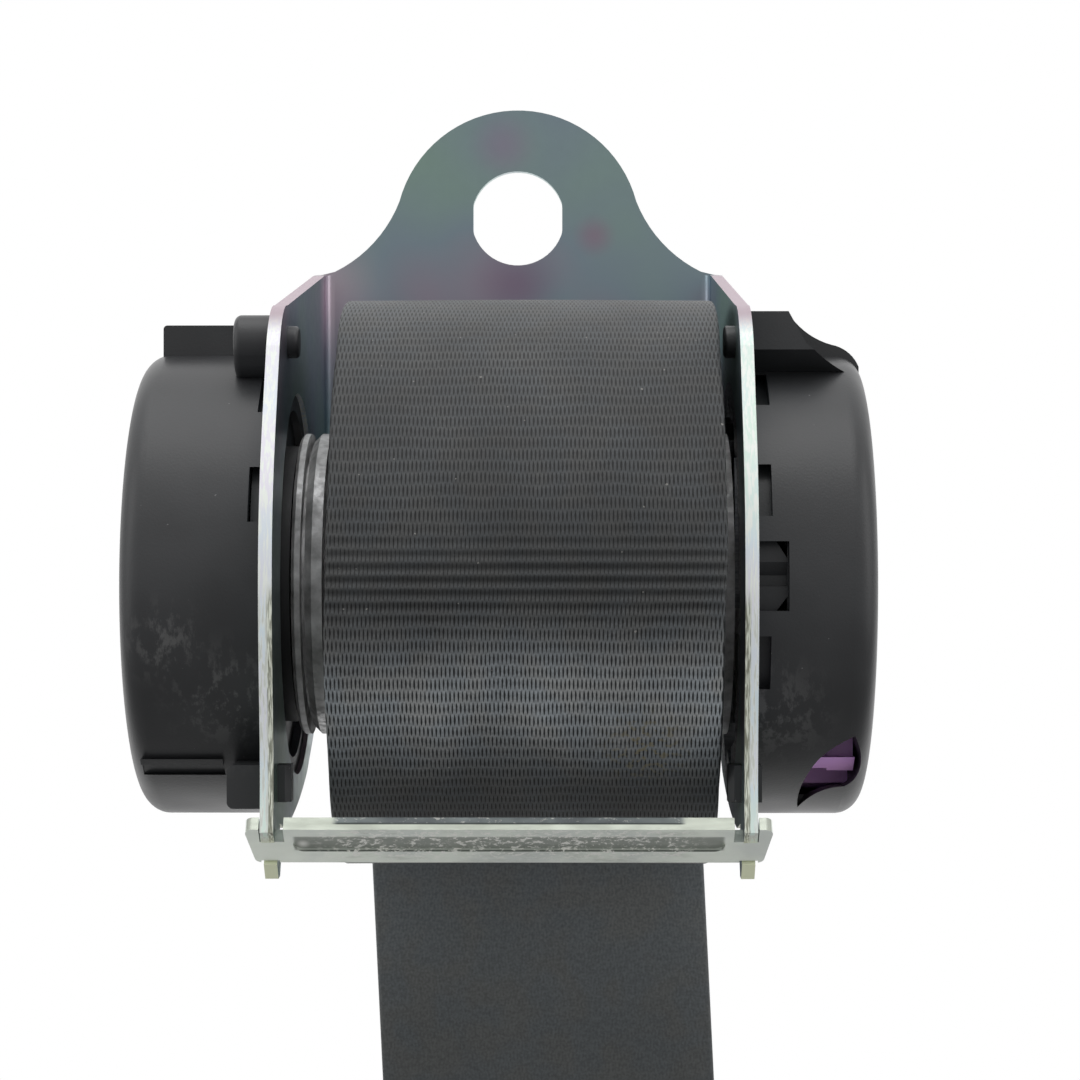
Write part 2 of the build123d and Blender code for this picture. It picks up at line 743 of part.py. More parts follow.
def shoulder_block():
    """The block over the right cover: flat front with a sloping foot, and a sweeping end."""
    r = cover_radius
    low, top = r - rib_root, r + 4.3
    x0 = wall_out
    slope = (x0 + 6.95, r + 0.4)
    toe = (x0 + 12.55, r - 3.05)
    front = Polyline((toe[0], low), (x0, low), (x0, top), (x0 + 4.8, top), slope)
    front += ThreePointArc(slope, (x0 + 9.05, r - 1.2), toe) + Line(toe, (toe[0], low))
    side = Polyline(
        (-17.5, top), (-17.5, r - 0.4), (-12.2, r - 3.1), (-8.5, r - 3.4), (-8.5, top), close=True
    )
    body = extrude(Plane.XZ.offset(r) * make_face(front), -2 * r)
    return body & plate(side, x0, toe[0])


def back_rib():
    """The rib behind the shoulder block, which sweeps down to a pad on the cover's rim."""
    r = cover_radius
    low, top = r - rib_root, r + 4.5
    x0, x1 = wall_out, right_cover_x - 0.1
    crest = (x0 + 6.1, top)
    pad = (x0 + 11.2, r + 1.0)
    end = (x1, r - 1.8)
    rib = Polyline((x1, low), (x0, low), (x0, top), crest)
    rib += ThreePointArc(crest, (x0 + 8.7, r + 2.1), pad)
    rib += ThreePointArc(pad, (x1 - 1.5, r + 0.15), end) + Line(end, (x1, low))
    body = extrude(Plane.XZ.offset(5.5) * make_face(rib), -16.0)
    return body - ring(x0 - 1, right_cover_x - cover_wall, cover_inner)


def scoop():
    """The round cut-out in the right cover that opens the sensor to view."""
    x, low = right_cover_x, -cover_radius
    toe, tip, heel = (x - 8.2, low + 1.5), (x - 2.4, low + 11.35), (x - 3.0, low + 4.7)
    lip = Spline(
        toe, (x - 8.4, low + 4.2), (x - 7.7, low + 6.4), (x - 6.5, low + 8.4), (x - 5.0, low + 9.8), tip
    )
    end = Spline(tip, (x - 1.4, low + 8.9), (x - 1.4, low + 6.7), heel)
    sole = Spline(heel, (x - 6.7, low + 3.4), toe)
    return extrude(Plane.XZ.offset(-low) * make_face(lip + end + sole), low + 8)


def make_mechanism_cover():
    """The right cover: a cup with windows, shoulder block, rib and sensor scoop."""
    body = cup(wall_out, right_cover_x, cover_radius, cover_wall)
    body += shoulder_block() - ring(wall_out - 1, right_cover_x - cover_wall, cover_inner)
    body += back_rib()
    windows = ((22.1, 26.1, 2.35), (8.5, 14.7, 2.05), (-2.8, 5.5, 3.95), (-12.2, -5.8, 1.85))
    for z0, z1, depth in windows:
        body -= block(wall_out - 1, wall_out + depth, -cover_radius, 0, z0, z1)
    body += snap_tab(1, 0.8)
    body -= scoop()
    return body - pin_socket(1)


def on_strand(shape):
    """Turn a piece drawn straight under the drum onto the strand's skewed line."""
    return Pos(strand_centre_x, 0, 0) * Rot(0, -strand_skew, 0) * shape


def make_strand():
    """The free webbing: a flat strip whose end is folded round the tongue and stitched."""
    half = webbing_width / 2
    t = webbing_thickness
    loop_z = -strand_length
    seam_z = loop_z + fold_height
    eye_y = tongue_centre_y()
    front_y = eye_y - loop_radius
    body = block(-half, half, strand_y, strand_back_y, loop_z, 0)
    body += block(-half, half, strand_y - t, strand_y, seam_z, seam_z + stitched_length)
    eye = rod(-half, half, loop_radius + t, eye_y, loop_z)
    eye -= rod(-half - 1, half + 1, loop_radius, eye_y, loop_z)
    body += eye - block(-half - 1, half + 1, eye_y - 9, eye_y + 9, loop_z, loop_z + 9)
    fold = Polyline(
        (front_y - t, loop_z - 0.1),
        (front_y, loop_z - 0.1),
        (front_y, loop_z + loop_radius),
        (strand_y, seam_z),
        (strand_y - t, seam_z + 0.1),
        (front_y - t, loop_z + loop_radius + 0.4),
        close=True,
    )
    body += plate(fold, -half, half)
    return on_strand(body)


def tongue_centre_y():
    """The Y of the tongue's middle plane, which hangs in the webbing's eye."""
    return strand_y - loop_radius


def tongue_sketch():
    """The tongue's outline about its bar's centre: slotted head and windowed blade."""
    top = tongue_bar_height / 2
    head = RectangleRounded(tongue_width, tongue_frame_height, 6.0)
    sketch = Pos(0, top - tongue_frame_height / 2) * head
    blade_top = top - tongue_frame_height + 4
    blade = RectangleRounded(blade_width, blade_length + 4, 4.0)
    sketch += Pos(0, blade_top - (blade_length + 4) / 2) * blade
    slot_z = -top - tongue_slot_height / 2
    sketch -= Pos(0, slot_z) * RectangleRounded(tongue_slot_width, tongue_slot_height, 1.2)
    window_z = blade_top - blade_length * 0.55
    sketch -= Pos(0, window_z) * RectangleRounded(latch_window_width, latch_window_height, 1.5)
    return sketch


def tongue_slab(sketch, thickness):
    """A sketch about the tongue's bar made a slab in the tongue's middle plane."""
    plane = Plane.XZ.offset(-tongue_centre_y() - thickness / 2)
    return extrude(plane * Pos(0, -strand_length) * sketch, thickness)


def make_tongue_plate():
    """The steel latch tongue: slotted head for the webbing and a blade with its window."""
    return on_strand(tongue_slab(tongue_sketch(), tongue_thickness))


def make_tongue_grip():
    """The plastic grip moulded over the tongue's head below the webbing slot."""
    top = -tongue_bar_height / 2 - tongue_slot_height - 1.2
    bottom = tongue_bar_height / 2 - tongue_frame_height - 3.0
    outline = Pos(0, (top + bottom) / 2) * RectangleRounded(tongue_width + 3.0, top - bottom, 5.0)
    body = tongue_slab(outline, grip_thickness)
    body = fillet(body.faces().filter_by(Axis.Y).edges(), 2.2)
    return on_strand(body - tongue_slab(tongue_sketch(), tongue_thickness))


NODES = {
    "frame_bracket": make_frame,
    "tie_bar": make_tie_bar,
    "lock_ring": make_lock_ring,
    "spring_base_plate": make_spring_base,
    "spring_cover": make_spring_cover,
    "clock_spring": make_clock_spring,
    "spring_arbor": make_arbor,
    "spool": make_spool,
    "torsion_bar": make_torsion_bar,
    "webbing_pin": make_webbing_pin,
    "webbing_roll": make_roll,
    "webbing_strand": make_strand,
    "tongue_plate": make_tongue_plate,
    "tongue_grip": make_tongue_grip,
    "lock_dog": make_lock_dog,
    "clutch_wheel": make_clutch_wheel,
    "inertia_lever": make_inertia_lever,
    "mechanism_housing": make_mechanism_housing,
    "sensor_housing": make_sensor_housing,
    "sensor_ball": make_sensor_ball,
    "sensor_lever": make_sensor_lever,
    "mechanism_cover": make_mechanism_cover,
    "push_pin_left": lambda: make_push_pin(-1),
    "push_pin_right": lambda: make_push_pin(1),
}

os.makedirs("parts", exist_ok=True)
to_origin = Pos(0, -back_out_y, -hole_z)
for node, make in NODES.items():
    export_step(to_origin * make(), f"parts/{node}.step")
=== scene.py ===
"""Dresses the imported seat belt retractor: wound and free webbing, finishes, studio and camera."""

import math

import bpy
import numpy as np
from bpy.props import FloatProperty, FloatVectorProperty, PointerProperty
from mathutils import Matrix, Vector


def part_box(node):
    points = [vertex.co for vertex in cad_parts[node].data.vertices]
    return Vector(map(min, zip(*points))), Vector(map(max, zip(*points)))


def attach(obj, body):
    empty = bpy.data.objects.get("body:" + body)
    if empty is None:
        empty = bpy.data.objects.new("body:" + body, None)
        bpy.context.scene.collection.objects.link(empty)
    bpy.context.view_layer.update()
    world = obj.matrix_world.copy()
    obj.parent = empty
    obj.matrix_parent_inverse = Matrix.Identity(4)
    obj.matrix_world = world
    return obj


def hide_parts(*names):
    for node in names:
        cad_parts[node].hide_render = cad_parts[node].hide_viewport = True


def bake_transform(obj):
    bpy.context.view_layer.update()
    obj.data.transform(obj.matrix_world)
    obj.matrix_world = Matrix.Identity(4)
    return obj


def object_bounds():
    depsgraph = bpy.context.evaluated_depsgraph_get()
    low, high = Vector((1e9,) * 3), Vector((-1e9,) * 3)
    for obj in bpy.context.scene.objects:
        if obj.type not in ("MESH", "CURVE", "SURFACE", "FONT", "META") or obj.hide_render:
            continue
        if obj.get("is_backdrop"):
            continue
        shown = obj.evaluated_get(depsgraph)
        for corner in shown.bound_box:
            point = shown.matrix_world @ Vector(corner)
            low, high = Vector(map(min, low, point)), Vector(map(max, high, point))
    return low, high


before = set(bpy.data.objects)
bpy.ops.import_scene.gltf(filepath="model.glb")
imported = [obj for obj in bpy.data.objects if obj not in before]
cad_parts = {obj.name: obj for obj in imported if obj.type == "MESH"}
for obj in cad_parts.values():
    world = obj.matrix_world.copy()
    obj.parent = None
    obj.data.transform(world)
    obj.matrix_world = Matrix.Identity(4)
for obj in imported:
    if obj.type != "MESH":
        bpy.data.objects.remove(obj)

bl_info = {
    "name": "Seat belt retractor",
    "version": (1, 0, 0),
    "blender": (4, 5, 0),
    "location": "View3D > Sidebar > Retractor",
    "description": "Webbing, finishes and studio for the packed seat belt retractor",
    "category": "Object",
}

MM = 0.001

# The spiral of turns inside the roll: its inner radius, and how far one turn lies from the next.
SPIRAL_START = 15.4 * MM
TURN_PITCH = 1.2 * MM

# Where the free webbing leaves the roll, to the right of the frame's middle, and how far it
# leans to the right on its way down, seen from the front.
STRAND_X = 0.96 * MM
STRAND_LEAN = math.radians(2.78)

# The folded end: from the middle of the tongue's bar up to the seam, the seam's length, and the
# gap between its two layers.
SEAM_RISE = 9.0 * MM
SEAM_LENGTH = 30.0 * MM
LAYER_GAP = 0.05 * MM


class WebbingSettings(bpy.types.PropertyGroup):
    """Sizes of the webbing that the CAD solids only stand in for."""

    thickness: FloatProperty(
        name="Thickness",
        description="Thickness of the webbing",
        default=1.15 * MM,
        unit="LENGTH",
    )
    top_swell: FloatProperty(
        name="Top swell",
        description="How far the roll stands proud of its solid at the top",
        default=0.3 * MM,
        unit="LENGTH",
    )
    sidestep: FloatProperty(
        name="Side step",
        description="How far the upper half of the outer turn lies to the right",
        default=0.45 * MM,
        unit="LENGTH",
    )
    row_pitch: FloatProperty(
        name="Row pitch",
        description="Length of one row of the weave",
        default=1.54 * MM,
        unit="LENGTH",
    )
    yarn_pitch: FloatProperty(
        name="Yarn pitch",
        description="Distance between neighbouring yarns in a row",
        default=0.49 * MM,
        unit="LENGTH",
    )
    thread_radius: FloatProperty(
        name="Thread radius",
        description="Radius of the sewing thread",
        default=0.28 * MM,
        unit="LENGTH",
    )
    stitch_pitch: FloatProperty(
        name="Stitch pitch",
        description="Length of one stitch with its gap",
        default=2.6 * MM,
        unit="LENGTH",
    )


class FinishSettings(bpy.types.PropertyGroup):
    """How worn and how coloured the surfaces are."""

    iridescence: FloatProperty(
        name="Iridescence",
        description="Strength of the passivation's colours on the zinc",
        default=1.0,
        min=0.0,
        max=1.0,
    )
    wear: FloatProperty(
        name="Wear",
        description="Strength of scuffs on the plastic and scratches on the steel",
        default=1.0,
        min=0.0,
        max=1.0,
    )
    grain: FloatProperty(
        name="Grain",
        description="Strength of the moulded grain of the plastic",
        default=0.35,
        min=0.0,
        max=1.0,
    )


class StudioSettings(bpy.types.PropertyGroup):
    """Camera and light of the photograph."""

    camera_place: FloatVectorProperty(
        name="Camera place",
        description="Where the camera stands",
        default=(0.0058, -0.4066, -0.04617),
        subtype="TRANSLATION",
    )
    camera_yaw: FloatProperty(
        name="Camera yaw",
        description="Turn of the camera about the vertical",
        default=math.radians(0.37),
        subtype="ANGLE",
    )
    view_angle: FloatProperty(
        name="View angle",
        description="Angle of view across the picture",
        default=math.radians(21.67),
        subtype="ANGLE",
    )
    room_light: FloatProperty(
        name="Room light",
        description="Brightness of the surroundings as the object sees them",
        default=0.9,
        min=0.0,
    )
    floor_gap: FloatProperty(
        name="Floor gap",
        description="Distance from the lowest point of the object to the floor",
        default=0.23,
        unit="LENGTH",
    )
    floor_size: FloatProperty(
        name="Floor size",
        description="Width of the floor",
        default=0.62,
        unit="LENGTH",
    )


def capped(rows):
    """Rows of points with a row at each end drawn in to its middle, so the ends are closed."""
    first = np.repeat(rows[:1].mean(axis=1, keepdims=True), rows.shape[1], axis=1)
    last = np.repeat(rows[-1:].mean(axis=1, keepdims=True), rows.shape[1], axis=1)
    return np.concatenate([first, rows, last])


def surface(name, rows, closed_u=False, closed_v=False, weave_place=None):
    """Makes an object from points in rows and columns: a quad between each four neighbours.

    weave_place holds each point's place across and along the webbing, and the weave's tone, which
    on the outer turn holds painted light and shade.
    """
    n, m, _ = rows.shape
    i = np.arange(n if closed_u else n - 1)
    j = np.arange(m if closed_v else m - 1)
    a, b = np.meshgrid(i, j, indexing="ij")
    a1, b1 = (a + 1) % n, (b + 1) % m
    corners = [a * m + b, a1 * m + b, a1 * m + b1, a * m + b1]
    quads = np.stack(corners, axis=-1).reshape(-1, 4)
    mesh = bpy.data.meshes.new(name)
    mesh.from_pydata(rows.reshape(-1, 3), [], quads)
    mesh.polygons.foreach_set("use_smooth", np.ones(len(quads), bool))
    if weave_place is not None:
        layer = mesh.attributes.new("weave", "FLOAT_VECTOR", "POINT")
        layer.data.foreach_set("vector", weave_place.reshape(-1, 3).astype(np.float32).ravel())
    mesh.update()
    piece = bpy.data.objects.new(name, mesh)
    bpy.context.scene.collection.objects.link(piece)
    return piece


def join(name, pieces):
    """Joins pieces into the first and gives it a name."""
    with bpy.context.temp_override(active_object=pieces[0], selected_editable_objects=pieces):
        bpy.ops.object.join()
    pieces[0].name = name
    pieces[0].data.name = name
    return pieces[0]


def strap_section(width, thickness, edge_points=6):
    """Closed section of a strap as (across, out) points.

    One edge, a half circle of half the thickness, and one flat face are followed by the same two
    turned half round the middle.
    """
    face_points = 9
    r = thickness / 2
    a = np.linspace(-np.pi / 2, np.pi / 2, edge_points)
    right = np.stack([width / 2 - r + r * np.cos(a), r * np.sin(a)], axis=-1)
    flat = np.linspace(width / 2 - r, -width / 2 + r, face_points)[1:-1]
    top = np.stack([flat, np.full_like(flat, r)], axis=-1)
    section = np.concatenate([right, top])
    return np.concatenate([section, -section])


def drum_frame():
    """Centre, radius and width of the wound webbing, from its solid."""
    low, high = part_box("webbing_roll")
    centre = (low + high) / 2
    return centre, (high.z - low.z) / 2, high.x - low.x


class Shader:
    """A material and short calls that add its nodes."""

    def __init__(self, name, roughness=0.5, metallic=0.0):
        self.material = bpy.data.materials.new(name)
        self.material.use_nodes = True
        self.tree = self.material.node_tree
        self.surface = self.tree.nodes["Principled BSDF"]
        self.surface.inputs["Roughness"].default_value = roughness
        self.surface.inputs["Metallic"].default_value = metallic

    def node(self, kind, *values, **settings):
        """Adds a node, sets its properties and fills its inputs in order from values or sockets."""
        node = self.tree.nodes.new(kind)
        for key, value in settings.items():
            setattr(node, key, value)
        for socket, value in zip(node.inputs, values):
            self.fill(socket, value)
        return node

    def fill(self, socket, value):
        """Links or sets one input."""
        if value is None:
            return
        if isinstance(value, bpy.types.NodeSocket):
            self.tree.links.new(value, socket)
        else:
            socket.default_value = value

    def set(self, name, value):
        """Links or sets one input of the surface."""
        self.fill(self.surface.inputs[name], value)

    def math(self, operation, a, b=None):
        """One sum on one or two numbers."""
        return self.node("ShaderNodeMath", a, b, operation=operation).outputs[0]

    def coords(self):
        """The object's own coordinates."""
        return self.node("ShaderNodeTexCoord").outputs["Object"]

    def normal(self):
        """The three parts of the surface's direction."""
        return self.split(self.node("ShaderNodeNewGeometry").outputs["Normal"])

    def split(self, vector):
        """The three parts of a vector."""
        return self.node("ShaderNodeSeparateXYZ", vector).outputs

    def scaled(self, vector, factors):
        """A vector with each part times its own factor."""
        node = self.node("ShaderNodeMapping")
        self.fill(node.inputs["Vector"], vector)
        self.fill(node.inputs["Scale"], factors)
        return node.outputs[0]

    def noise(self, vector, scale, detail=2.0, rough=0.5):
        """Smooth noise, 0 to 1."""
        node = self.node("ShaderNodeTexNoise")
        self.fill(node.inputs["Vector"], vector)
        node.inputs["Scale"].default_value = scale
        node.inputs["Detail"].default_value = detail
        node.inputs["Roughness"].default_value = rough
        return node.outputs[0]

    def remap(self, value, low, high, to_low=0.0, to_high=1.0):
        """A number moved smoothly from one range to another and held at the ends."""
        node = self.node("ShaderNodeMapRange", value, low, high, to_low, to_high)
        node.interpolation_type = "SMOOTHSTEP"
        return node.outputs[0]

    def ramp(self, value, stops):
        """A colour for a number, from (place, colour) stops."""
        node = self.node("ShaderNodeValToRGB", value)
        bar = node.color_ramp.elements
        while len(bar) < len(stops):
            bar.new(1.0)
        for element, (place, colour) in zip(bar, stops):
            element.position = place
            element.color = (*colour, 1.0)
        return node.outputs[0]

    def mix(self, share, a, b, blend="MIX"):
        """Two colours mixed."""
        node = self.tree.nodes.new("ShaderNodeMix")
        node.data_type = "RGBA"
        node.blend_type = blend
        self.fill(node.inputs[0], share)
        for socket, value in ((node.inputs[6], a), (node.inputs[7], b)):
            self.fill(socket, (*value, 1.0) if isinstance(value, tuple) else value)
        return node.outputs[2]

    def near(self, vector, centre, radius):
        """1 at a place, fading to 0 at a radius."""
        node = self.node("ShaderNodeVectorMath", vector, centre, operation="DISTANCE")
        return self.remap(node.outputs["Value"], radius, 0.0)

    def bump(self, height, strength, distance):
        """A relief on the surface."""
        node = self.node("ShaderNodeBump")
        node.inputs["Strength"].default_value = strength
        node.inputs["Distance"].default_value = distance
        self.fill(node.inputs["Height"], height)
        self.set("Normal", node.outputs[0])


def weave(shader, across, along, settings, looseness=1.0):
    """Relief of the webbing, 0 to 1, from its coordinates across and along.

    Rows of short floats run along the webbing, each row half a yarn beside the last. Two floats
    of a row touch at its ends, and a lens-shaped slit opens between them in its middle: its
    width is the root of the row's half sine, less the share along which the floats touch. The
    webbing's colour paints the slit dark as shade. A float is round across and sinks a little
    at its ends.
    """
    touching, slit_width = 0.36, 0.66
    blur_in_slit, blur_on_float = 0.14, 0.16
    roundness, sinking = 0.55, 0.16
    m = shader.math
    rows = m("DIVIDE", along, settings.row_pitch)
    row = m("FLOOR", rows)
    part = m("SUBTRACT", rows, row)
    stagger = m("FRACT", m("MULTIPLY", row, 0.5))
    yarns = m("ADD", m("DIVIDE", across, settings.yarn_pitch), stagger)
    side = m("MULTIPLY", m("ABSOLUTE", m("SUBTRACT", m("FRACT", yarns), 0.5)), 2.0)
    belly = m("SINE", m("MULTIPLY", part, math.pi))
    place = shader.node("ShaderNodeCombineXYZ", across, along, 0.0).outputs[0]
    uneven = shader.remap(shader.noise(place, 1300.0, 1.0), 0.3, 0.7, 0.75, 1.2)
    loose = m("MULTIPLY", uneven, looseness)
    lens = m("SUBTRACT", m("SQRT", belly), touching)
    rim = m("SUBTRACT", 1.0, m("MULTIPLY", lens, m("MULTIPLY", loose, slit_width)))
    rim_in, rim_out = m("SUBTRACT", rim, blur_on_float), m("ADD", rim, blur_in_slit)
    on_float = shader.remap(side, rim_in, rim_out, 1.0, 0.0)
    curve = m("MULTIPLY", m("MULTIPLY", side, side), roundness)
    round_top = m("SQRT", m("SUBTRACT", 1.0, curve))
    flat_height = m("MULTIPLY", round_top, on_float)
    return m("MULTIPLY", flat_height, m("ADD", m("MULTIPLY", belly, sinking), 1.0 - sinking))


def webbing_material(name, settings, wound):
    """Woven polyester: staggered floats over slits painted dark as shade, with dust, fading and a
    stain.

    The wound webbing reads its place and its tone from the weave attribute, and that tone holds
    painted light and shade. The free webbing is flatter and evener, and its tone is painted light
    that falls from below the tie bar downwards.
    """
    coolest, warmest = (0.97, 1.0, 1.03), (1.03, 1.0, 0.97)
    bar_z, picture_foot_z = -94 * MM, -122 * MM
    s = Shader(name, roughness=0.62)
    if wound:
        place = s.node("ShaderNodeAttribute", attribute_name="weave").outputs["Vector"]
        across, along, tone = s.split(place)
        place = s.node("ShaderNodeCombineXYZ", across, along, 0.0).outputs[0]
        # The first colour paints the weave's slits dark as shade. The second is the floats' own
        # colour.
        slit_shade, crown = (0.005, 0.006, 0.007), (0.126, 0.134, 0.139)
        dimmest, brightest = 0.76, 1.2
        relief = 0.6
    else:
        place = s.coords()
        across, _, along = s.split(place)
        # Painted light: makes up for the roll's shade on the free webbing just below the tie bar,
        # and falls off further down.
        tone = s.remap(along, bar_z, picture_foot_z, 1.55, 0.95)
        # The first colour paints the weave's slits dark as shade. The second is the floats' own
        # colour.
        slit_shade, crown = (0.078, 0.084, 0.086), (0.086, 0.093, 0.095)
        dimmest, brightest = 0.97, 1.03
        relief = 0.06
    drift = s.noise(place, 120.0, 2.0)
    wobble = s.math("MULTIPLY", s.math("SUBTRACT", drift, 0.5), 1.1 * MM)
    looseness = s.remap(tone, 0.27, 0.40, 0.45, 1.0) if wound else 1.0
    height = weave(s, across, s.math("ADD", along, wobble), settings, looseness)
    cloud = s.noise(place, 60.0, 4.0)
    fine = s.noise(place, 2600.0, 1.0)
    # This brightness is random clouding and fine noise times the tone, so it carries the tone's
    # painted light and shade.
    lit = s.math("MULTIPLY", s.remap(cloud, 0.3, 0.7, dimmest, brightest), tone)
    lit = s.math("MULTIPLY", lit, s.remap(fine, 0.2, 0.8, 0.8, 1.2))
    base = s.ramp(height, [(0.05, slit_shade), (0.75, crown)])
    hue = s.mix(s.remap(s.noise(place, 210.0, 1.0), 0.35, 0.65), coolest, warmest)
    base = s.mix(1.0, base, hue, "MULTIPLY")
    grey = s.node("ShaderNodeCombineXYZ", lit, lit, lit).outputs[0]
    base = s.mix(1.0, base, grey, "MULTIPLY")
    if wound:
        base = webbing_marks(s, place, base)
    s.set("Base Color", base)
    s.surface.inputs["Sheen Weight"].default_value = 0.08
    s.surface.inputs["Sheen Roughness"].default_value = 0.4
    s.bump(height, relief, 0.25 * MM)
    return s.material


def webbing_marks(s, place, base):
    """A broken brown stain right of the middle and pale specks, over the webbing's colour."""
    stain_place, stain_radius = (14.5 * MM, -20.0 * MM, 0.0), 7 * MM
    brown, pale = (0.20, 0.175, 0.10), (0.34, 0.33, 0.31)
    stain = s.near(place, stain_place, stain_radius)
    stain = s.math("MULTIPLY", stain, s.remap(s.noise(place, 1300.0, 3.0), 0.54, 0.6))
    base = s.mix(s.math("MULTIPLY", stain, 0.8), base, brown)
    speck = s.remap(s.noise(place, 1500.0, 0.0), 0.855, 0.88)
    return s.mix(s.math("MULTIPLY", speck, 0.6), base, pale)


def zinc_material(name, settings):
    """Zinc-plated steel: soft iridescent drifts of colour, fine grain, and pale raw cut edges, with
    painted shade on faces that point up and a painted highlight low on the left wall.
    """
    drifts = [  # share of the cloud, colour
        (0.32, (0.28, 0.41, 0.33)),
        (0.44, (0.28, 0.38, 0.37)),
        (0.54, (0.27, 0.34, 0.39)),
        (0.62, (0.31, 0.32, 0.38)),
        (0.70, (0.36, 0.30, 0.37)),
    ]
    spots = (  # centre, radius, colour
        ((0.0, 0.0, -9.5 * MM), 8 * MM, (0.26, 0.16, 0.25)),
        ((11.0 * MM, 0.0, -2.5 * MM), 4 * MM, (0.38, 0.18, 0.28)),
        ((-2.0 * MM, 0.0, 10.5 * MM), 6 * MM, (0.34, 0.26, 0.38)),
        # This pale pink patch low on the left wall is a painted highlight, not the plating's
        # colour.
        ((-29.0 * MM, 0.0, -11.0 * MM), 12 * MM, (0.66, 0.48, 0.56)),
    )
    colourless, plated_top_painted_shade, cut_top_painted_shade = (0.40, 0.45, 0.45), (0.34, 0.30, 0.33), (0.42, 0.34, 0.38)
    inside_x, wall_x = 27.4 * MM, 27.6 * MM
    plate_y, wall_y = -2 * MM, -5 * MM
    s = Shader(name, roughness=0.34, metallic=1.0)
    place = s.coords()
    tint = s.ramp(s.noise(place, 34.0, 2.0, 0.45), drifts)
    for centre, radius, colour in spots:
        tint = s.mix(s.math("MULTIPLY", s.near(place, centre, radius), 0.7), tint, colour)
    tint = s.mix(settings.iridescence, colourless, tint)
    fine = s.noise(place, 700.0, 2.0)
    x, y, z = s.split(place)
    away = s.math("ABSOLUTE", x)
    right, _, up = s.normal()
    edge_on = s.remap(s.math("ABSOLUTE", right), 0.5, 0.25)
    cut = s.math("MULTIPLY", edge_on, s.remap(away, inside_x, wall_x))
    cut = s.math("MULTIPLY", cut, s.remap(y, plate_y, wall_y))
    # Faces that point up get colours of their own, painted shade, darkest on the cut edges' tops.
    top = s.remap(up, 0.6, 0.9)
    raw = s.mix(top, cut_edge(s, place, away, z), cut_top_painted_shade)
    tint = s.mix(top, tint, plated_top_painted_shade)
    s.set("Base Color", s.mix(cut, tint, raw))
    s.set("Metallic", s.math("SUBTRACT", 1.0, cut))
    rough = s.remap(fine, 0.3, 0.7, 0.32, 0.38)
    s.set("Roughness", s.math("ADD", rough, s.math("MULTIPLY", cut, 0.25)))
    s.bump(fine, 0.04, 0.05 * MM)
    return s.material


def cut_edge(s, place, away, z):
    """Colour of a sheared edge: smooth and pale above, and torn and dark inside below."""
    sheens = [  # share of the drift, colour
        (0.35, (0.78, 0.94, 0.82)),
        (0.5, (0.80, 0.92, 0.97)),
        (0.65, (0.90, 0.88, 0.96)),
    ]
    bright_line, foot_colour = (0.96, 1.0, 0.95), (0.95, 1.0, 0.72)
    pit, ridge, scratch = (0.27, 0.28, 0.22), (0.86, 0.90, 0.78), (0.42, 0.45, 0.40)
    smooth_z, torn_z = -46 * MM, -50 * MM
    shank_z, foot_z = -80.5 * MM, -83 * MM
    outer_x, inner_x = 28.65 * MM, 28.40 * MM
    drift = s.noise(place, 60.0, 1.0)
    sheen = s.ramp(drift, sheens)
    streaks = s.noise(s.scaled(place, (2.0, 1.0, 0.16)), 1500.0, 3.0, 0.6)
    grit = s.noise(s.scaled(place, (3.0, 1.0, 0.18)), 2400.0, 3.0)
    bright = s.mix(s.remap(streaks, 0.42, 0.6), sheen, bright_line)
    torn = s.mix(s.remap(grit, 0.42, 0.60), pit, ridge)
    low = s.remap(s.math("ADD", z, s.math("MULTIPLY", drift, 8 * MM)), smooth_z, torn_z)
    edge = s.math("ADD", away, s.math("MULTIPLY", streaks, 0.5 * MM))
    inner = s.remap(edge, outer_x, inner_x)
    lines = s.math("MULTIPLY", low, s.remap(streaks, 0.50, 0.60))
    outer = s.mix(s.math("MULTIPLY", lines, 0.4), bright, scratch)
    whole = s.mix(s.math("MULTIPLY", inner, low), outer, torn)
    return s.mix(s.remap(z, shank_z, foot_z), whole, foot_colour)


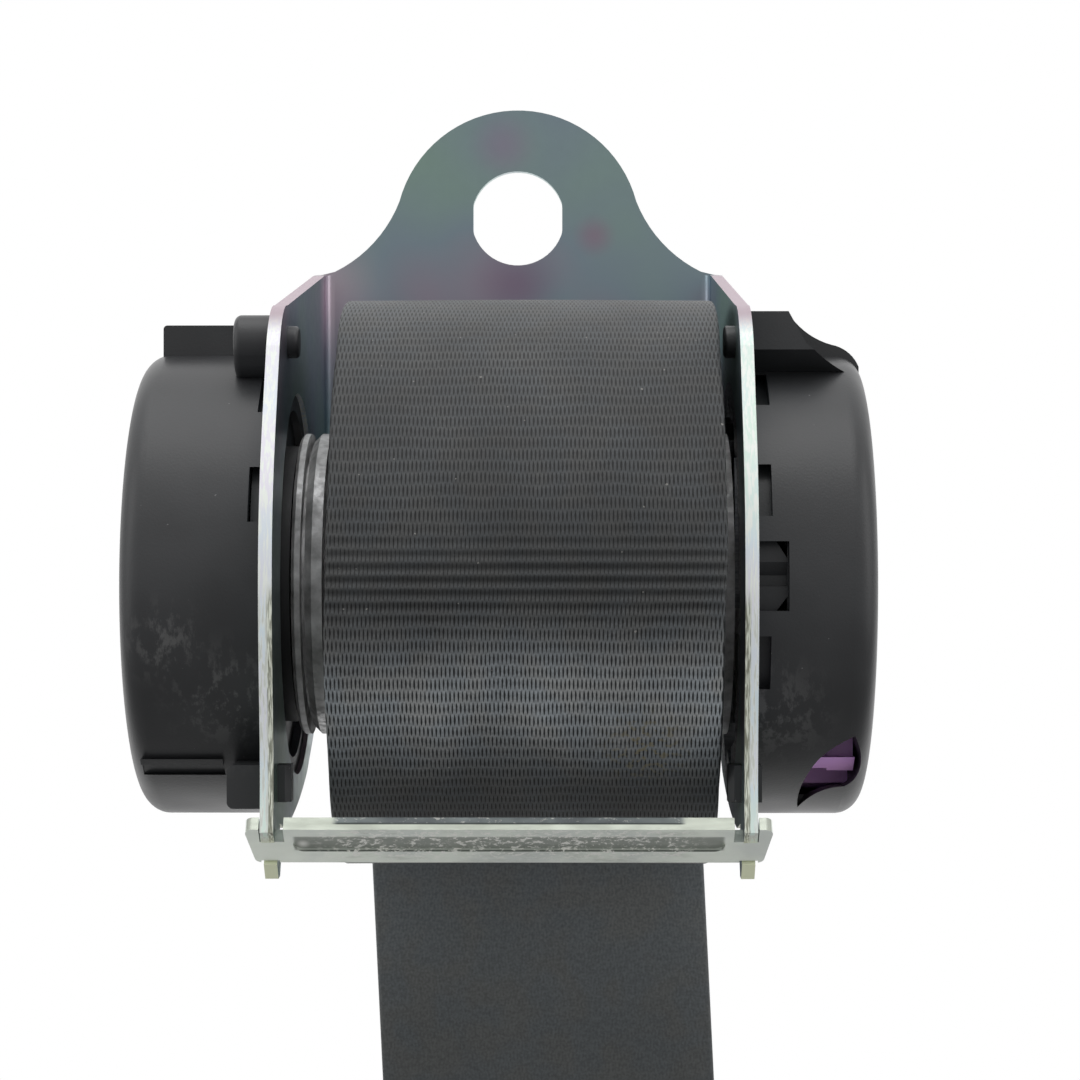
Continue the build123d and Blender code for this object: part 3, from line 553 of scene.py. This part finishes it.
def bar_material(name, settings):
    """Zinc plate on the tie bar: a bright face with a worn bead, and a band behind it painted dark
    as the webbing's shadow, with real chips.

    Heights are taken down from the bar's highest edge: first the band of painted shadow and the
    painted dark seam of shade along it, then the bright upper corner, then the middle line of the
    bead. Faces that point up are painted darker as shade, the bead's ledge is painted lighter,
    partly as wear and partly as light, and a painted highlight sits at the bead's left end.
    """
    plated, plated_drift, scraped = (0.88, 0.93, 0.85), (0.76, 0.80, 0.76), (0.42, 0.44, 0.38)
    bead_grey, ledge_wear_and_painted_light, upward_painted_shade = (0.29, 0.315, 0.28), (0.62, 0.66, 0.60), (0.20, 0.22, 0.20)
    band, band_drift, band_chip = (0.15, 0.17, 0.17), (0.09, 0.10, 0.105), (0.5, 0.5, 0.47)
    top_front_painted_shade, seam_painted_shade, bare_metal_and_glint = (0.44, 0.47, 0.41), (0.03, 0.035, 0.035), (1.0, 1.0, 0.95)
    s = Shader(name, roughness=0.4, metallic=1.0)
    low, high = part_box("tie_bar")
    band_z = high.z - 0.74 * MM
    seam_z = high.z - 0.66 * MM
    corner_z = high.z - 1.33 * MM
    bead_z = corner_z - 1.85 * MM
    glint_place = (-24.4 * MM, low.y + 2.9 * MM, bead_z - 0.3 * MM)
    place = s.coords()
    x, _, z = s.split(place)
    away = s.math("ABSOLUTE", x)
    up = s.normal()[2]
    cloud = s.noise(place, 120.0, 3.0)
    scrape = s.noise(s.scaled(place, (0.3, 1.0, 1.3)), 700.0, 6.0, 0.7)
    chips = s.noise(s.scaled(place, (0.6, 1.0, 1.0)), 1700.0, 5.0, 0.75)
    worn_share = s.math("MULTIPLY", s.remap(away, 25 * MM, 18 * MM), settings.wear)
    off_bead = s.math("ABSOLUTE", s.math("SUBTRACT", z, bead_z))
    bead = s.remap(off_bead, 1.0 * MM, 0.8 * MM)
    bead = s.math("MULTIPLY", bead, s.remap(away, 25.6 * MM, 25.1 * MM))
    tint = s.mix(s.remap(cloud, 0.35, 0.65), plated, plated_drift)
    scrapes = s.math("MULTIPLY", s.remap(scrape, 0.50, 0.64), worn_share)
    tint = s.mix(s.math("MULTIPLY", scrapes, 0.25), tint, scraped)
    tint = s.mix(s.math("MULTIPLY", bead, 0.85), tint, bead_grey)
    facing_up = s.remap(up, 0.3, 0.5)
    ledge = s.math("MULTIPLY", facing_up, bead)
    # Faces that point up are painted darker, as shade.
    tint = s.mix(facing_up, tint, upward_painted_shade)
    # The bead's upward ledge is painted lighter: partly worn metal, partly painted light.
    tint = s.mix(ledge, tint, ledge_wear_and_painted_light)
    chips_and_glint = s.remap(chips, 0.52, 0.575)
    chips_and_glint = s.math("MULTIPLY", chips_and_glint, s.remap(off_bead, 2.8 * MM, 0.8 * MM))
    # A painted highlight at the bead's left end, joined with the real worn chips into one bare
    # white.
    glint = s.near(place, glint_place, 1.1 * MM)
    chips_and_glint = s.math("MAXIMUM", s.math("MULTIPLY", chips_and_glint, worn_share), glint)
    tint = s.mix(chips_and_glint, tint, bare_metal_and_glint)
    on_corner = s.remap(z, corner_z - 0.3 * MM, corner_z - 0.1 * MM)
    top = s.math("MULTIPLY", facing_up, on_corner)
    rear = s.remap(z, band_z, band_z + 0.12 * MM)
    off_seam = s.math("ABSOLUTE", s.math("SUBTRACT", z, seam_z))
    seam = s.remap(off_seam, 0.14 * MM, 0.04 * MM)
    # The band's colours paint the webbing's shadow. The chips on it are real wear.
    shadow_and_chips = s.mix(s.remap(cloud, 0.38, 0.58), band, band_drift)
    shadow_and_chips = s.mix(s.remap(chips, 0.57, 0.63, 0.0, 0.6), shadow_and_chips, band_chip)
    # The painted shadow and the seam stay in the middle, under the webbing.
    between_walls = s.remap(away, 21 * MM, 20 * MM)
    rear = s.math("MULTIPLY", rear, between_walls)
    seam = s.math("MULTIPLY", s.math("MULTIPLY", seam, between_walls), 0.85)
    # Above the corner: painted shade on the top in front of the band, the band's painted shadow,
    # and a dark seam of painted shade along its front.
    shadow_and_chips = s.mix(seam, s.mix(rear, top_front_painted_shade, shadow_and_chips), seam_painted_shade)
    s.set("Base Color", s.mix(top, tint, shadow_and_chips))
    matt = s.math("MAXIMUM", s.math("MULTIPLY", bead, 0.8), ledge)
    s.set("Metallic", s.remap(s.math("MAXIMUM", matt, chips_and_glint), 0.0, 1.0, 0.85, 0.1))
    s.set("Roughness", s.remap(scrape, 0.3, 0.7, 0.34, 0.5))
    s.bump(chips, 0.12, 0.06 * MM)
    return s.material


def steel_material(name, colour, roughness):
    """Bare steel with fine marks."""
    s = Shader(name, roughness=roughness, metallic=1.0)
    marks = s.noise(s.scaled(s.coords(), (1.0, 1.0, 6.0)), 500.0, 3.0)
    dark = tuple(part * 0.72 for part in colour)
    s.set("Base Color", s.mix(s.remap(marks, 0.35, 0.7), colour, dark))
    s.set("Roughness", s.remap(marks, 0.3, 0.7, roughness * 0.85, roughness * 1.2))
    s.bump(marks, 0.04, 0.02 * MM)
    return s.material


def cast_material(name):
    """Rough die-cast metal with a mottled grey skin."""
    greys = [(0.3, (0.36, 0.36, 0.36)), (0.5, (0.64, 0.64, 0.64)), (0.7, (0.90, 0.90, 0.90))]
    s = Shader(name, roughness=0.5, metallic=0.5)
    place = s.coords()
    skin = s.noise(place, 260.0, 4.0, 0.6)
    grain = s.noise(place, 1400.0, 3.0)
    s.set("Base Color", s.ramp(skin, greys))
    s.set("Roughness", s.remap(grain, 0.3, 0.7, 0.42, 0.68))
    s.bump(s.math("ADD", grain, s.math("MULTIPLY", skin, 0.6)), 0.35, 0.2 * MM)
    return s.material


def plastic_material(name, colour, roughness, settings, scuffs=()):
    """Moulded plastic: fine grain, faint clouding, dust, and scuffs round given places."""
    rubbed, dusty = (0.13, 0.13, 0.13), (0.4, 0.4, 0.4)
    s = Shader(name, roughness=roughness)
    place = s.coords()
    grain = s.noise(place, 3200.0, 2.0)
    cloud = s.noise(place, 70.0, 3.0)
    light = tuple(min(1.0, part * 1.35 + 0.002) for part in colour)
    tint = s.mix(s.remap(cloud, 0.35, 0.7), colour, light)
    rough = s.remap(cloud, 0.3, 0.7, roughness - 0.05, roughness + 0.06)
    if scuffs:
        mask = None
        for centre, radius in scuffs:
            spot = s.near(place, centre, radius)
            mask = spot if mask is None else s.math("MAXIMUM", mask, spot)
        rub = s.noise(s.scaled(place, (1.0, 1.0, 0.45)), 520.0, 5.0, 0.7)
        rub = s.math("MULTIPLY", s.remap(rub, 0.48, 0.60), s.math("MULTIPLY", mask, settings.wear))
        tint = s.mix(s.math("MULTIPLY", rub, 0.75), tint, rubbed)
        rough = s.math("ADD", rough, s.math("MULTIPLY", rub, 0.22))
    dust = s.remap(s.noise(place, 1700.0, 1.0), 0.80, 0.84)
    tint = s.mix(s.math("MULTIPLY", dust, 0.35 * settings.wear), tint, dusty)
    s.set("Base Color", tint)
    s.set("Roughness", rough)
    s.bump(grain, settings.grain, 0.05 * MM)
    return s.material


def thread_material():
    """Dark grey sewing thread with a twist."""
    dark, light = (0.02, 0.021, 0.023), (0.11, 0.112, 0.118)
    s = Shader("sewing_thread", roughness=0.5)
    twist = s.noise(s.scaled(s.coords(), (1.0, 1.0, 0.5)), 4200.0, 1.0)
    s.set("Base Color", s.mix(s.remap(twist, 0.3, 0.7), dark, light))
    s.bump(twist, 0.4, 0.08 * MM)
    return s.material


def dress(finishes):
    """Gives CAD nodes their materials, from a material for each node's name."""
    for node, material in finishes.items():
        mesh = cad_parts[node].data
        mesh.materials.clear()
        mesh.materials.append(material)


class RETRACTOR_OT_studio(bpy.types.Operator):
    """Sets up the camera, the floor, the lights and the white surroundings."""

    bl_idname = "retractor.studio"
    bl_label = "Studio"

    def execute(self, context):
        settings = context.scene.retractor_studio
        camera = bpy.data.objects.new("camera", bpy.data.cameras.new("camera"))
        context.scene.collection.objects.link(camera)
        camera.location = settings.camera_place
        camera.rotation_euler = (math.radians(90), 0.0, settings.camera_yaw)
        camera.data.sensor_width = 36.0
        camera.data.angle = settings.view_angle
        camera.data.clip_start = 0.01
        context.scene.camera = camera
        self.add_floor(settings)
        self.add_lights(context)
        self.add_world(context, settings)
        context.scene.view_settings.view_transform = "Standard"
        return {"FINISHED"}

    def add_floor(self, settings):
        """A pale round floor under the object: points on rings round its middle."""
        sides, rings = 96, 7
        low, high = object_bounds()
        a = np.linspace(0, 2 * np.pi, sides + 1)[None, :-1]
        r = settings.floor_size / 2 * np.linspace(0.0, 1.0, rings)[:, None]
        x = r * np.cos(a)
        y = (low[1] + high[1]) / 2 + r * np.sin(a)
        z = np.full_like(x, low[2] - settings.floor_gap)
        floor = surface("floor", np.stack([x, y, z], axis=-1), closed_v=True)
        s = Shader("floor_paint", roughness=0.8)
        tone = s.remap(s.noise(s.coords(), 8.0, 2.0), 0.3, 0.7)
        s.set("Base Color", s.mix(tone, (0.78, 0.78, 0.78), (0.82, 0.82, 0.82)))
        floor.data.materials.append(s.material)
        floor.visible_diffuse = False
        floor.visible_glossy = False
        floor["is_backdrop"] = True

    def add_lights(self, context):
        """Large soft lights above the object and at both sides of it, all aimed at its middle."""
        middle = Vector((0.0, -0.045, -0.05))
        lights = {  # place, width and height, watts
            "light_key": ((-0.05, -0.16, 0.52), (0.60, 0.40), 1.2),
            "light_left": ((-0.60, -0.25, 0.10), (0.3, 0.6), 0.7),
            "light_right": ((0.60, -0.25, 0.10), (0.3, 0.6), 0.7),
        }
        for name, (place, size, power) in lights.items():
            data = bpy.data.lights.new(name, "AREA")
            data.shape = "RECTANGLE"
            data.size, data.size_y = size
            data.energy = power
            light = bpy.data.objects.new(name, data)
            light.location = place
            light.rotation_euler = (middle - Vector(place)).to_track_quat("-Z", "Y").to_euler()
            context.scene.collection.objects.link(light)

    def add_world(self, context, settings):
        """White to the camera, and to the object a grey room that is dark round the camera.

        The room's shade is the larger of two: one rises with the direction's height, the other
        towards the back.
        """
        rises = {  # from and to along an axis, and the shades there
            "Z": (-0.35, 1.0, 0.33, 1.12),
            "Y": (-0.1, 0.7, 0.0, 1.35),
        }
        world = bpy.data.worlds.new("room")
        world.use_nodes = True
        nodes, links = world.node_tree.nodes, world.node_tree.links
        nodes.clear()
        direction = nodes.new("ShaderNodeTexCoord")
        parts = nodes.new("ShaderNodeSeparateXYZ")
        links.new(direction.outputs["Generated"], parts.inputs[0])
        shades = []
        for axis, ranges in rises.items():
            shade = nodes.new("ShaderNodeMapRange")
            shade.interpolation_type = "SMOOTHSTEP"
            for socket, value in zip(shade.inputs[1:5], ranges):
                socket.default_value = value
            links.new(parts.outputs[axis], shade.inputs[0])
            shades.append(shade)
        brighter = nodes.new("ShaderNodeMath")
        brighter.operation = "MAXIMUM"
        for shade, socket in zip(shades, brighter.inputs):
            links.new(shade.outputs[0], socket)
        room = nodes.new("ShaderNodeBackground")
        links.new(brighter.outputs[0], room.inputs["Color"])
        room.inputs["Strength"].default_value = settings.room_light
        white = nodes.new("ShaderNodeBackground")
        white.inputs["Color"].default_value = (1.0, 1.0, 1.0, 1.0)
        rays = nodes.new("ShaderNodeLightPath")
        mixer = nodes.new("ShaderNodeMixShader")
        links.new(rays.outputs["Is Camera Ray"], mixer.inputs[0])
        links.new(room.outputs[0], mixer.inputs[1])
        links.new(white.outputs[0], mixer.inputs[2])
        output = nodes.new("ShaderNodeOutputWorld")
        links.new(mixer.outputs[0], output.inputs[0])
        context.scene.world = world


class RETRACTOR_OT_webbing_roll(bpy.types.Operator):
    """Winds the webbing: a spiral of turns under one closed outer turn with its side step."""

    bl_idname = "retractor.webbing_roll"
    bl_label = "Webbing roll"

    def execute(self, context):
        settings = context.scene.retractor_webbing
        outer = self.outer_turn(settings)
        inner = self.spiral(settings)
        roll = join("webbing_wound", [outer, inner])
        roll.data.materials.append(webbing_material("webbing_wound", settings, True))
        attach(roll, "drum")
        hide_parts("webbing_roll")
        return {"FINISHED"}

    def outer_turn(self, settings):
        """Point at angle a and section point (s, h): x = middle + step + s * wave, radius = r + h.

        The step goes smoothly from the lower half of the turn to the upper half, as a hyperbolic
        tangent of the height. The wave is two sines that move the edges in and out. To the plain
        radius r come a swell, which is the sine of a, a ripple of nine waves that turns over
        across the width, and fold ridges at the front: a cosine of one row of the weave under a
        bell curve of the height. The tone is even and lighter in a worn band below the fold. It
        also holds painted light, lighter at top and bottom, and painted shade, a little darker in
        the fold and most of all in its grooves.
        """
        narrower, lower = 0.3 * MM, 0.1 * MM
        step_steepness, front_steepness = 9.0, 8.0
        edge_wave, edge_ripple, face_ripple = 0.12 * MM, 0.07 * MM, 0.1 * MM
        ridge_height = 0.16 * MM
        fold_at, fold_width = 0.02, 0.13
        worn_at, worn_width = -0.40, 0.20
        centre, radius, width = drum_frame()
        t = settings.thickness
        a = np.linspace(-np.pi, np.pi, 1441)[:-1, None]
        section = strap_section(width - narrower, t)
        s, h = section[None, :, 0], section[None, :, 1]
        height = np.sin(a)
        up = 0.5 + 0.5 * np.tanh((height + 0.02) * step_steepness)
        step = settings.sidestep * (up - 0.4)
        edge = edge_wave * np.sin(5 * a + 1.0) + edge_ripple * np.sin(13 * a)
        swell = settings.top_swell * height
        ripple = face_ripple * np.sin(9 * a) * np.cos(s / width * 5.0)
        front = 0.5 + 0.5 * np.tanh(front_steepness * np.cos(a))
        fold = front * np.exp(-(((height - fold_at) / fold_width) ** 2))
        rib = fold * np.cos(2 * np.pi * radius * a / settings.row_pitch)
        r = radius - t / 2 - lower + swell + ripple + ridge_height * rib + h
        x = centre.x + step + s * (1 + edge / width) + 0 * r
        points = np.stack([x, centre.y - r * np.cos(a), centre.z + r * height], axis=-1)
        worn = front * np.exp(-(((height - worn_at) / worn_width) ** 2))
        # Tone: 0.12 height**4 is painted light at top and bottom. -0.15 fold is painted shade in
        # the fold. 0.04 rib paints the ridges lighter and their grooves darker, as shade. The worn
        # band is real wear.
        tone = 0.41 + 0.12 * height**4 + 1.9 * worn - 0.15 * fold + 0.04 * rib
        place = np.stack([s + 0 * a, radius * a + 0 * s, tone + 0 * s], axis=-1)
        return surface("outer_turn", points, True, True, place)

    def spiral(self, settings):
        """Point on turn angle a: radius = start + pitch * a / one turn, moved a little in x.

        The length along the webbing is the radius summed over the angle.
        """
        steps_per_turn, tone = 90, 0.5
        below_skin, narrower, thinner = 2.0 * MM, 0.5 * MM, 0.94
        centre, radius, width = drum_frame()
        turns = (radius - below_skin - SPIRAL_START) / TURN_PITCH
        a = np.linspace(0, 2 * np.pi * turns, int(turns * steps_per_turn))[:, None]
        section = strap_section(width - narrower, settings.thickness * thinner, 4)
        s, h = section[None, :, 0], section[None, :, 1]
        drift = 0.22 * MM * np.sin(a * 0.61) + 0.12 * MM * np.sin(a * 1.73 + 2.0)
        r = SPIRAL_START + TURN_PITCH * a / (2 * np.pi) + h
        x = centre.x + drift + s + 0 * r
        points = np.stack([x, centre.y - r * np.cos(a), centre.z + r * np.sin(a)], axis=-1)
        length = SPIRAL_START * a + TURN_PITCH * a * a / (4 * np.pi)
        place = np.stack([s + 0 * a, length + 0 * s, tone + 0 * (a + s)], axis=-1)
        return surface("turns", points, False, True, place)


class RETRACTOR_OT_webbing_strand(bpy.types.Operator):
    """Makes the free webbing: off the back of the roll, down, round the tongue's bar and back."""

    bl_idname = "retractor.webbing_strand"
    bl_label = "Webbing strand"

    def execute(self, context):
        settings = context.scene.retractor_webbing
        path = self.path(settings)
        width = drum_frame()[2]
        strand = self.sweep(path, width, settings)
        strand.data.materials.append(webbing_material("webbing_free", settings, False))
        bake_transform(strand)
        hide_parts("webbing_strand")
        self.stitches(settings, width)
        return {"FINISHED"}

    def path(self, settings):
        """Middle line of the webbing as (y, z) points.

        An arc round the roll's back, whose upper end leans in with the square of the angle, a
        straight run down, a smaller arc round the tongue's bar, a smooth crossing (3 u squared
        less 2 u cubed) and a straight run up against the front of the first one.
        """
        arc_angle, arc_lean = math.radians(34), 1.3 * MM
        loop_angle = math.radians(165)
        bar_radius = 2.0 * MM
        centre = drum_frame()[0]
        t = settings.thickness
        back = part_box("webbing_strand")[1].y - t / 2
        front = back - t - LAYER_GAP
        bar_low, bar_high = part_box("tongue_plate")
        eye_y = (bar_low.y + bar_high.y) / 2
        eye_z = bar_high.z - bar_radius
        self.top = centre.z
        self.seam = eye_z + SEAM_RISE
        self.seam_end = self.seam + SEAM_LENGTH

        a = np.linspace(arc_angle, 0, 24)
        r = back - centre.y - (a / arc_angle) ** 2 * arc_lean
        arc = np.stack([centre.y + r * np.cos(a), centre.z + r * np.sin(a)], axis=-1)

        down = np.stack([np.full(60, back), np.linspace(centre.z, eye_z, 61)[1:]], axis=-1)

        b = np.linspace(0, loop_angle, 22)[1:]
        eye = back - eye_y
        loop = np.stack([eye_y + eye * np.cos(b), eye_z - eye * np.sin(b)], axis=-1)

        loop_y, loop_z = loop[-1]
        rise = np.linspace(loop_z, self.seam, 12)[1:]
        share = (rise - rise[0]) / (rise[-1] - rise[0])
        share = share * share * (3 - 2 * share)
        crossing = np.stack([loop_y + (front - loop_y) * share, rise], axis=-1)

        seam = np.linspace(self.seam, self.seam_end, 17)[1:]
        up = np.stack([np.full(16, front), seam], axis=-1)
        return np.concatenate([arc, down, loop, crossing, up])

    def lean(self, points):
        """Turns points about the strand's start by its lean, and moves them to its place in x."""
        start_z = drum_frame()[0].z
        x, z = points[..., 0], points[..., 2] - start_z
        turned = points.copy()
        turned[..., 0] = STRAND_X + x * math.cos(STRAND_LEAN) - z * math.sin(STRAND_LEAN)
        turned[..., 2] = start_z + x * math.sin(STRAND_LEAN) + z * math.cos(STRAND_LEAN)
        return turned

    def sweep(self, path, width, settings):
        """Point at path step k and section point (s, h): (s, path + h * normal), then leaned."""
        step = np.gradient(path, axis=0)
        step /= np.linalg.norm(step, axis=1, keepdims=True)
        normal = np.stack([-step[:, 1], step[:, 0]], axis=-1)
        section = strap_section(width, settings.thickness)
        s, h = section[None, :, 0], section[None, :, 1]
        y = path[:, :1] + normal[:, :1] * h
        z = path[:, 1:] + normal[:, 1:] * h
        points = np.stack([s + 0 * y, y, z], axis=-1)
        outward = self.lean(capped(points))[:, ::-1]  # this order makes the faces point outwards
        return surface("webbing_free", outward, False, True)

    def stitches(self, settings, width):
        """Sewing: rows of short thread arcs that dip into the webbing at both ends.

        A stitch is a tube along u, from 0 to 1: z rises by almost a pitch, x crosses by the
        zigzag's width, left and right in turn, and the middle stands out by half a sine.
        """
        rows, border = 9, 4 * MM
        seam_border = 2 * MM
        zigzag = 1.6 * MM
        sunk, bulge, filled = 0.3, 0.9, 0.96
        proud = 0.02 * MM
        t = settings.thickness
        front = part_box("webbing_strand")[1].y - 2 * t - proud
        r = settings.thread_radius
        pitch = settings.stitch_pitch
        columns = np.linspace(-width / 2 + border, width / 2 - border, rows)
        marks = np.arange(self.seam + seam_border, self.seam_end - seam_border, pitch)
        u = np.linspace(0, 1, 9)[:, None]
        a = np.linspace(0, 2 * np.pi, 9)[None, :-1]
        y = front + r * (sunk - bulge * np.sin(np.pi * u) - np.sin(a))
        pieces = []
        for k, x0 in enumerate(columns):
            for n, z0 in enumerate(marks):
                hand = 1 if (n + k) % 2 else -1
                x = x0 + hand * zigzag * (u - 0.5) + r * np.cos(a)
                z = z0 + pitch * filled * u + 0 * a
                tube = self.lean(np.stack([x, y, z], axis=-1))
                pieces.append(surface("stitch", tube, False, True))
        thread = join("stitching", pieces)
        thread.data.materials.append(thread_material())
        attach(thread, "strand")


class RETRACTOR_OT_metal_finishes(bpy.types.Operator):
    """Gives the steel and die-cast nodes their finishes."""

    bl_idname = "retractor.metal_finishes"
    bl_label = "Metal finishes"

    def execute(self, context):
        settings = context.scene.retractor_finish
        zinc = zinc_material("zinc_plate", settings)
        worn = bar_material("zinc_worn", settings)
        hardened = steel_material("hardened_steel", (0.30, 0.31, 0.33), 0.38)
        plain = steel_material("plain_steel", (0.52, 0.53, 0.55), 0.3)
        spring = steel_material("spring_steel", (0.24, 0.26, 0.32), 0.28)
        bright = steel_material("bright_steel", (0.56, 0.57, 0.59), 0.2)
        cast = cast_material("die_cast")
        dress(
            {
                "frame_bracket": zinc,
                "tie_bar": worn,
                "lock_ring": hardened,
                "lock_dog": hardened,
                "torsion_bar": plain,
                "webbing_pin": plain,
                "sensor_ball": bright,
                "clock_spring": spring,
                "tongue_plate": bright,
                "spool": cast,
                "inertia_lever": cast,
            }
        )
        return {"FINISHED"}


class RETRACTOR_OT_plastic_finishes(bpy.types.Operator):
    """Gives the moulded nodes their finishes, with scuffs low on the front of both covers."""

    bl_idname = "retractor.plastic_finishes"
    bl_label = "Plastic finishes"

    def execute(self, context):
        settings = context.scene.retractor_finish
        black = (0.028, 0.029, 0.031)
        low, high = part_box("spring_cover")
        front = low.y + 2 * MM
        rub = ((high.x - 8.0 * MM, front, low.z + 15.5 * MM), 10 * MM)
        graze = ((high.x - 15.0 * MM, front, low.z + 23 * MM), 7 * MM)
        left = plastic_material("cover_left", black, 0.42, settings, scuffs=(rub, graze))
        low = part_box("mechanism_cover")[0]
        rub = ((low.x + 5 * MM, low.y + 4 * MM, low.z + 14 * MM), 10 * MM)
        right = plastic_material("cover_right", black, 0.4, settings, scuffs=(rub,))
        plain = plastic_material("black_plastic", black, 0.4, settings)
        white = plastic_material("white_plastic", (0.62, 0.61, 0.57), 0.38, settings)
        purple = plastic_material("purple_plastic", (0.80, 0.42, 1.0), 0.4, settings)
        dress(
            {
                "spring_cover": left,
                "mechanism_cover": right,
                "spring_base_plate": plain,
                "mechanism_housing": plain,
                "push_pin_left": plain,
                "push_pin_right": plain,
                "tongue_grip": plain,
                "spring_arbor": white,
                "clutch_wheel": white,
                "sensor_lever": white,
                "sensor_housing": purple,
            }
        )
        return {"FINISHED"}


class RETRACTOR_PT_panel(bpy.types.Panel):
    """The retractor's settings and steps in the sidebar."""

    bl_idname = "RETRACTOR_PT_panel"
    bl_label = "Retractor"
    bl_space_type = "VIEW_3D"
    bl_region_type = "UI"
    bl_category = "Retractor"

    def draw(self, context):
        for group in SETTINGS:
            settings = getattr(context.scene, group)
            box = self.layout.box()
            for name in settings.__annotations__:
                box.prop(settings, name)
        for step in OPERATORS:
            self.layout.operator(step.bl_idname)


SETTINGS = {
    "retractor_webbing": WebbingSettings,
    "retractor_finish": FinishSettings,
    "retractor_studio": StudioSettings,
}
OPERATORS = (
    RETRACTOR_OT_studio,
    RETRACTOR_OT_webbing_roll,
    RETRACTOR_OT_webbing_strand,
    RETRACTOR_OT_metal_finishes,
    RETRACTOR_OT_plastic_finishes,
)


def register():
    """Registers the settings, the steps and the panel."""
    for name, group in SETTINGS.items():
        bpy.utils.register_class(group)
        setattr(bpy.types.Scene, name, PointerProperty(type=group))
    for step in OPERATORS:
        bpy.utils.register_class(step)
    bpy.utils.register_class(RETRACTOR_PT_panel)


def unregister():
    """Takes the panel, the steps and the settings out again."""
    bpy.utils.unregister_class(RETRACTOR_PT_panel)
    for step in reversed(OPERATORS):
        bpy.utils.unregister_class(step)
    for name, group in SETTINGS.items():
        delattr(bpy.types.Scene, name)
        bpy.utils.unregister_class(group)


def main():
    """Runs every step in order."""
    register()
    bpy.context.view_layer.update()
    for step in OPERATORS:
        group, name = step.bl_idname.split(".")
        getattr(getattr(bpy.ops, group), name)()


if __name__ == "__main__":
    main()
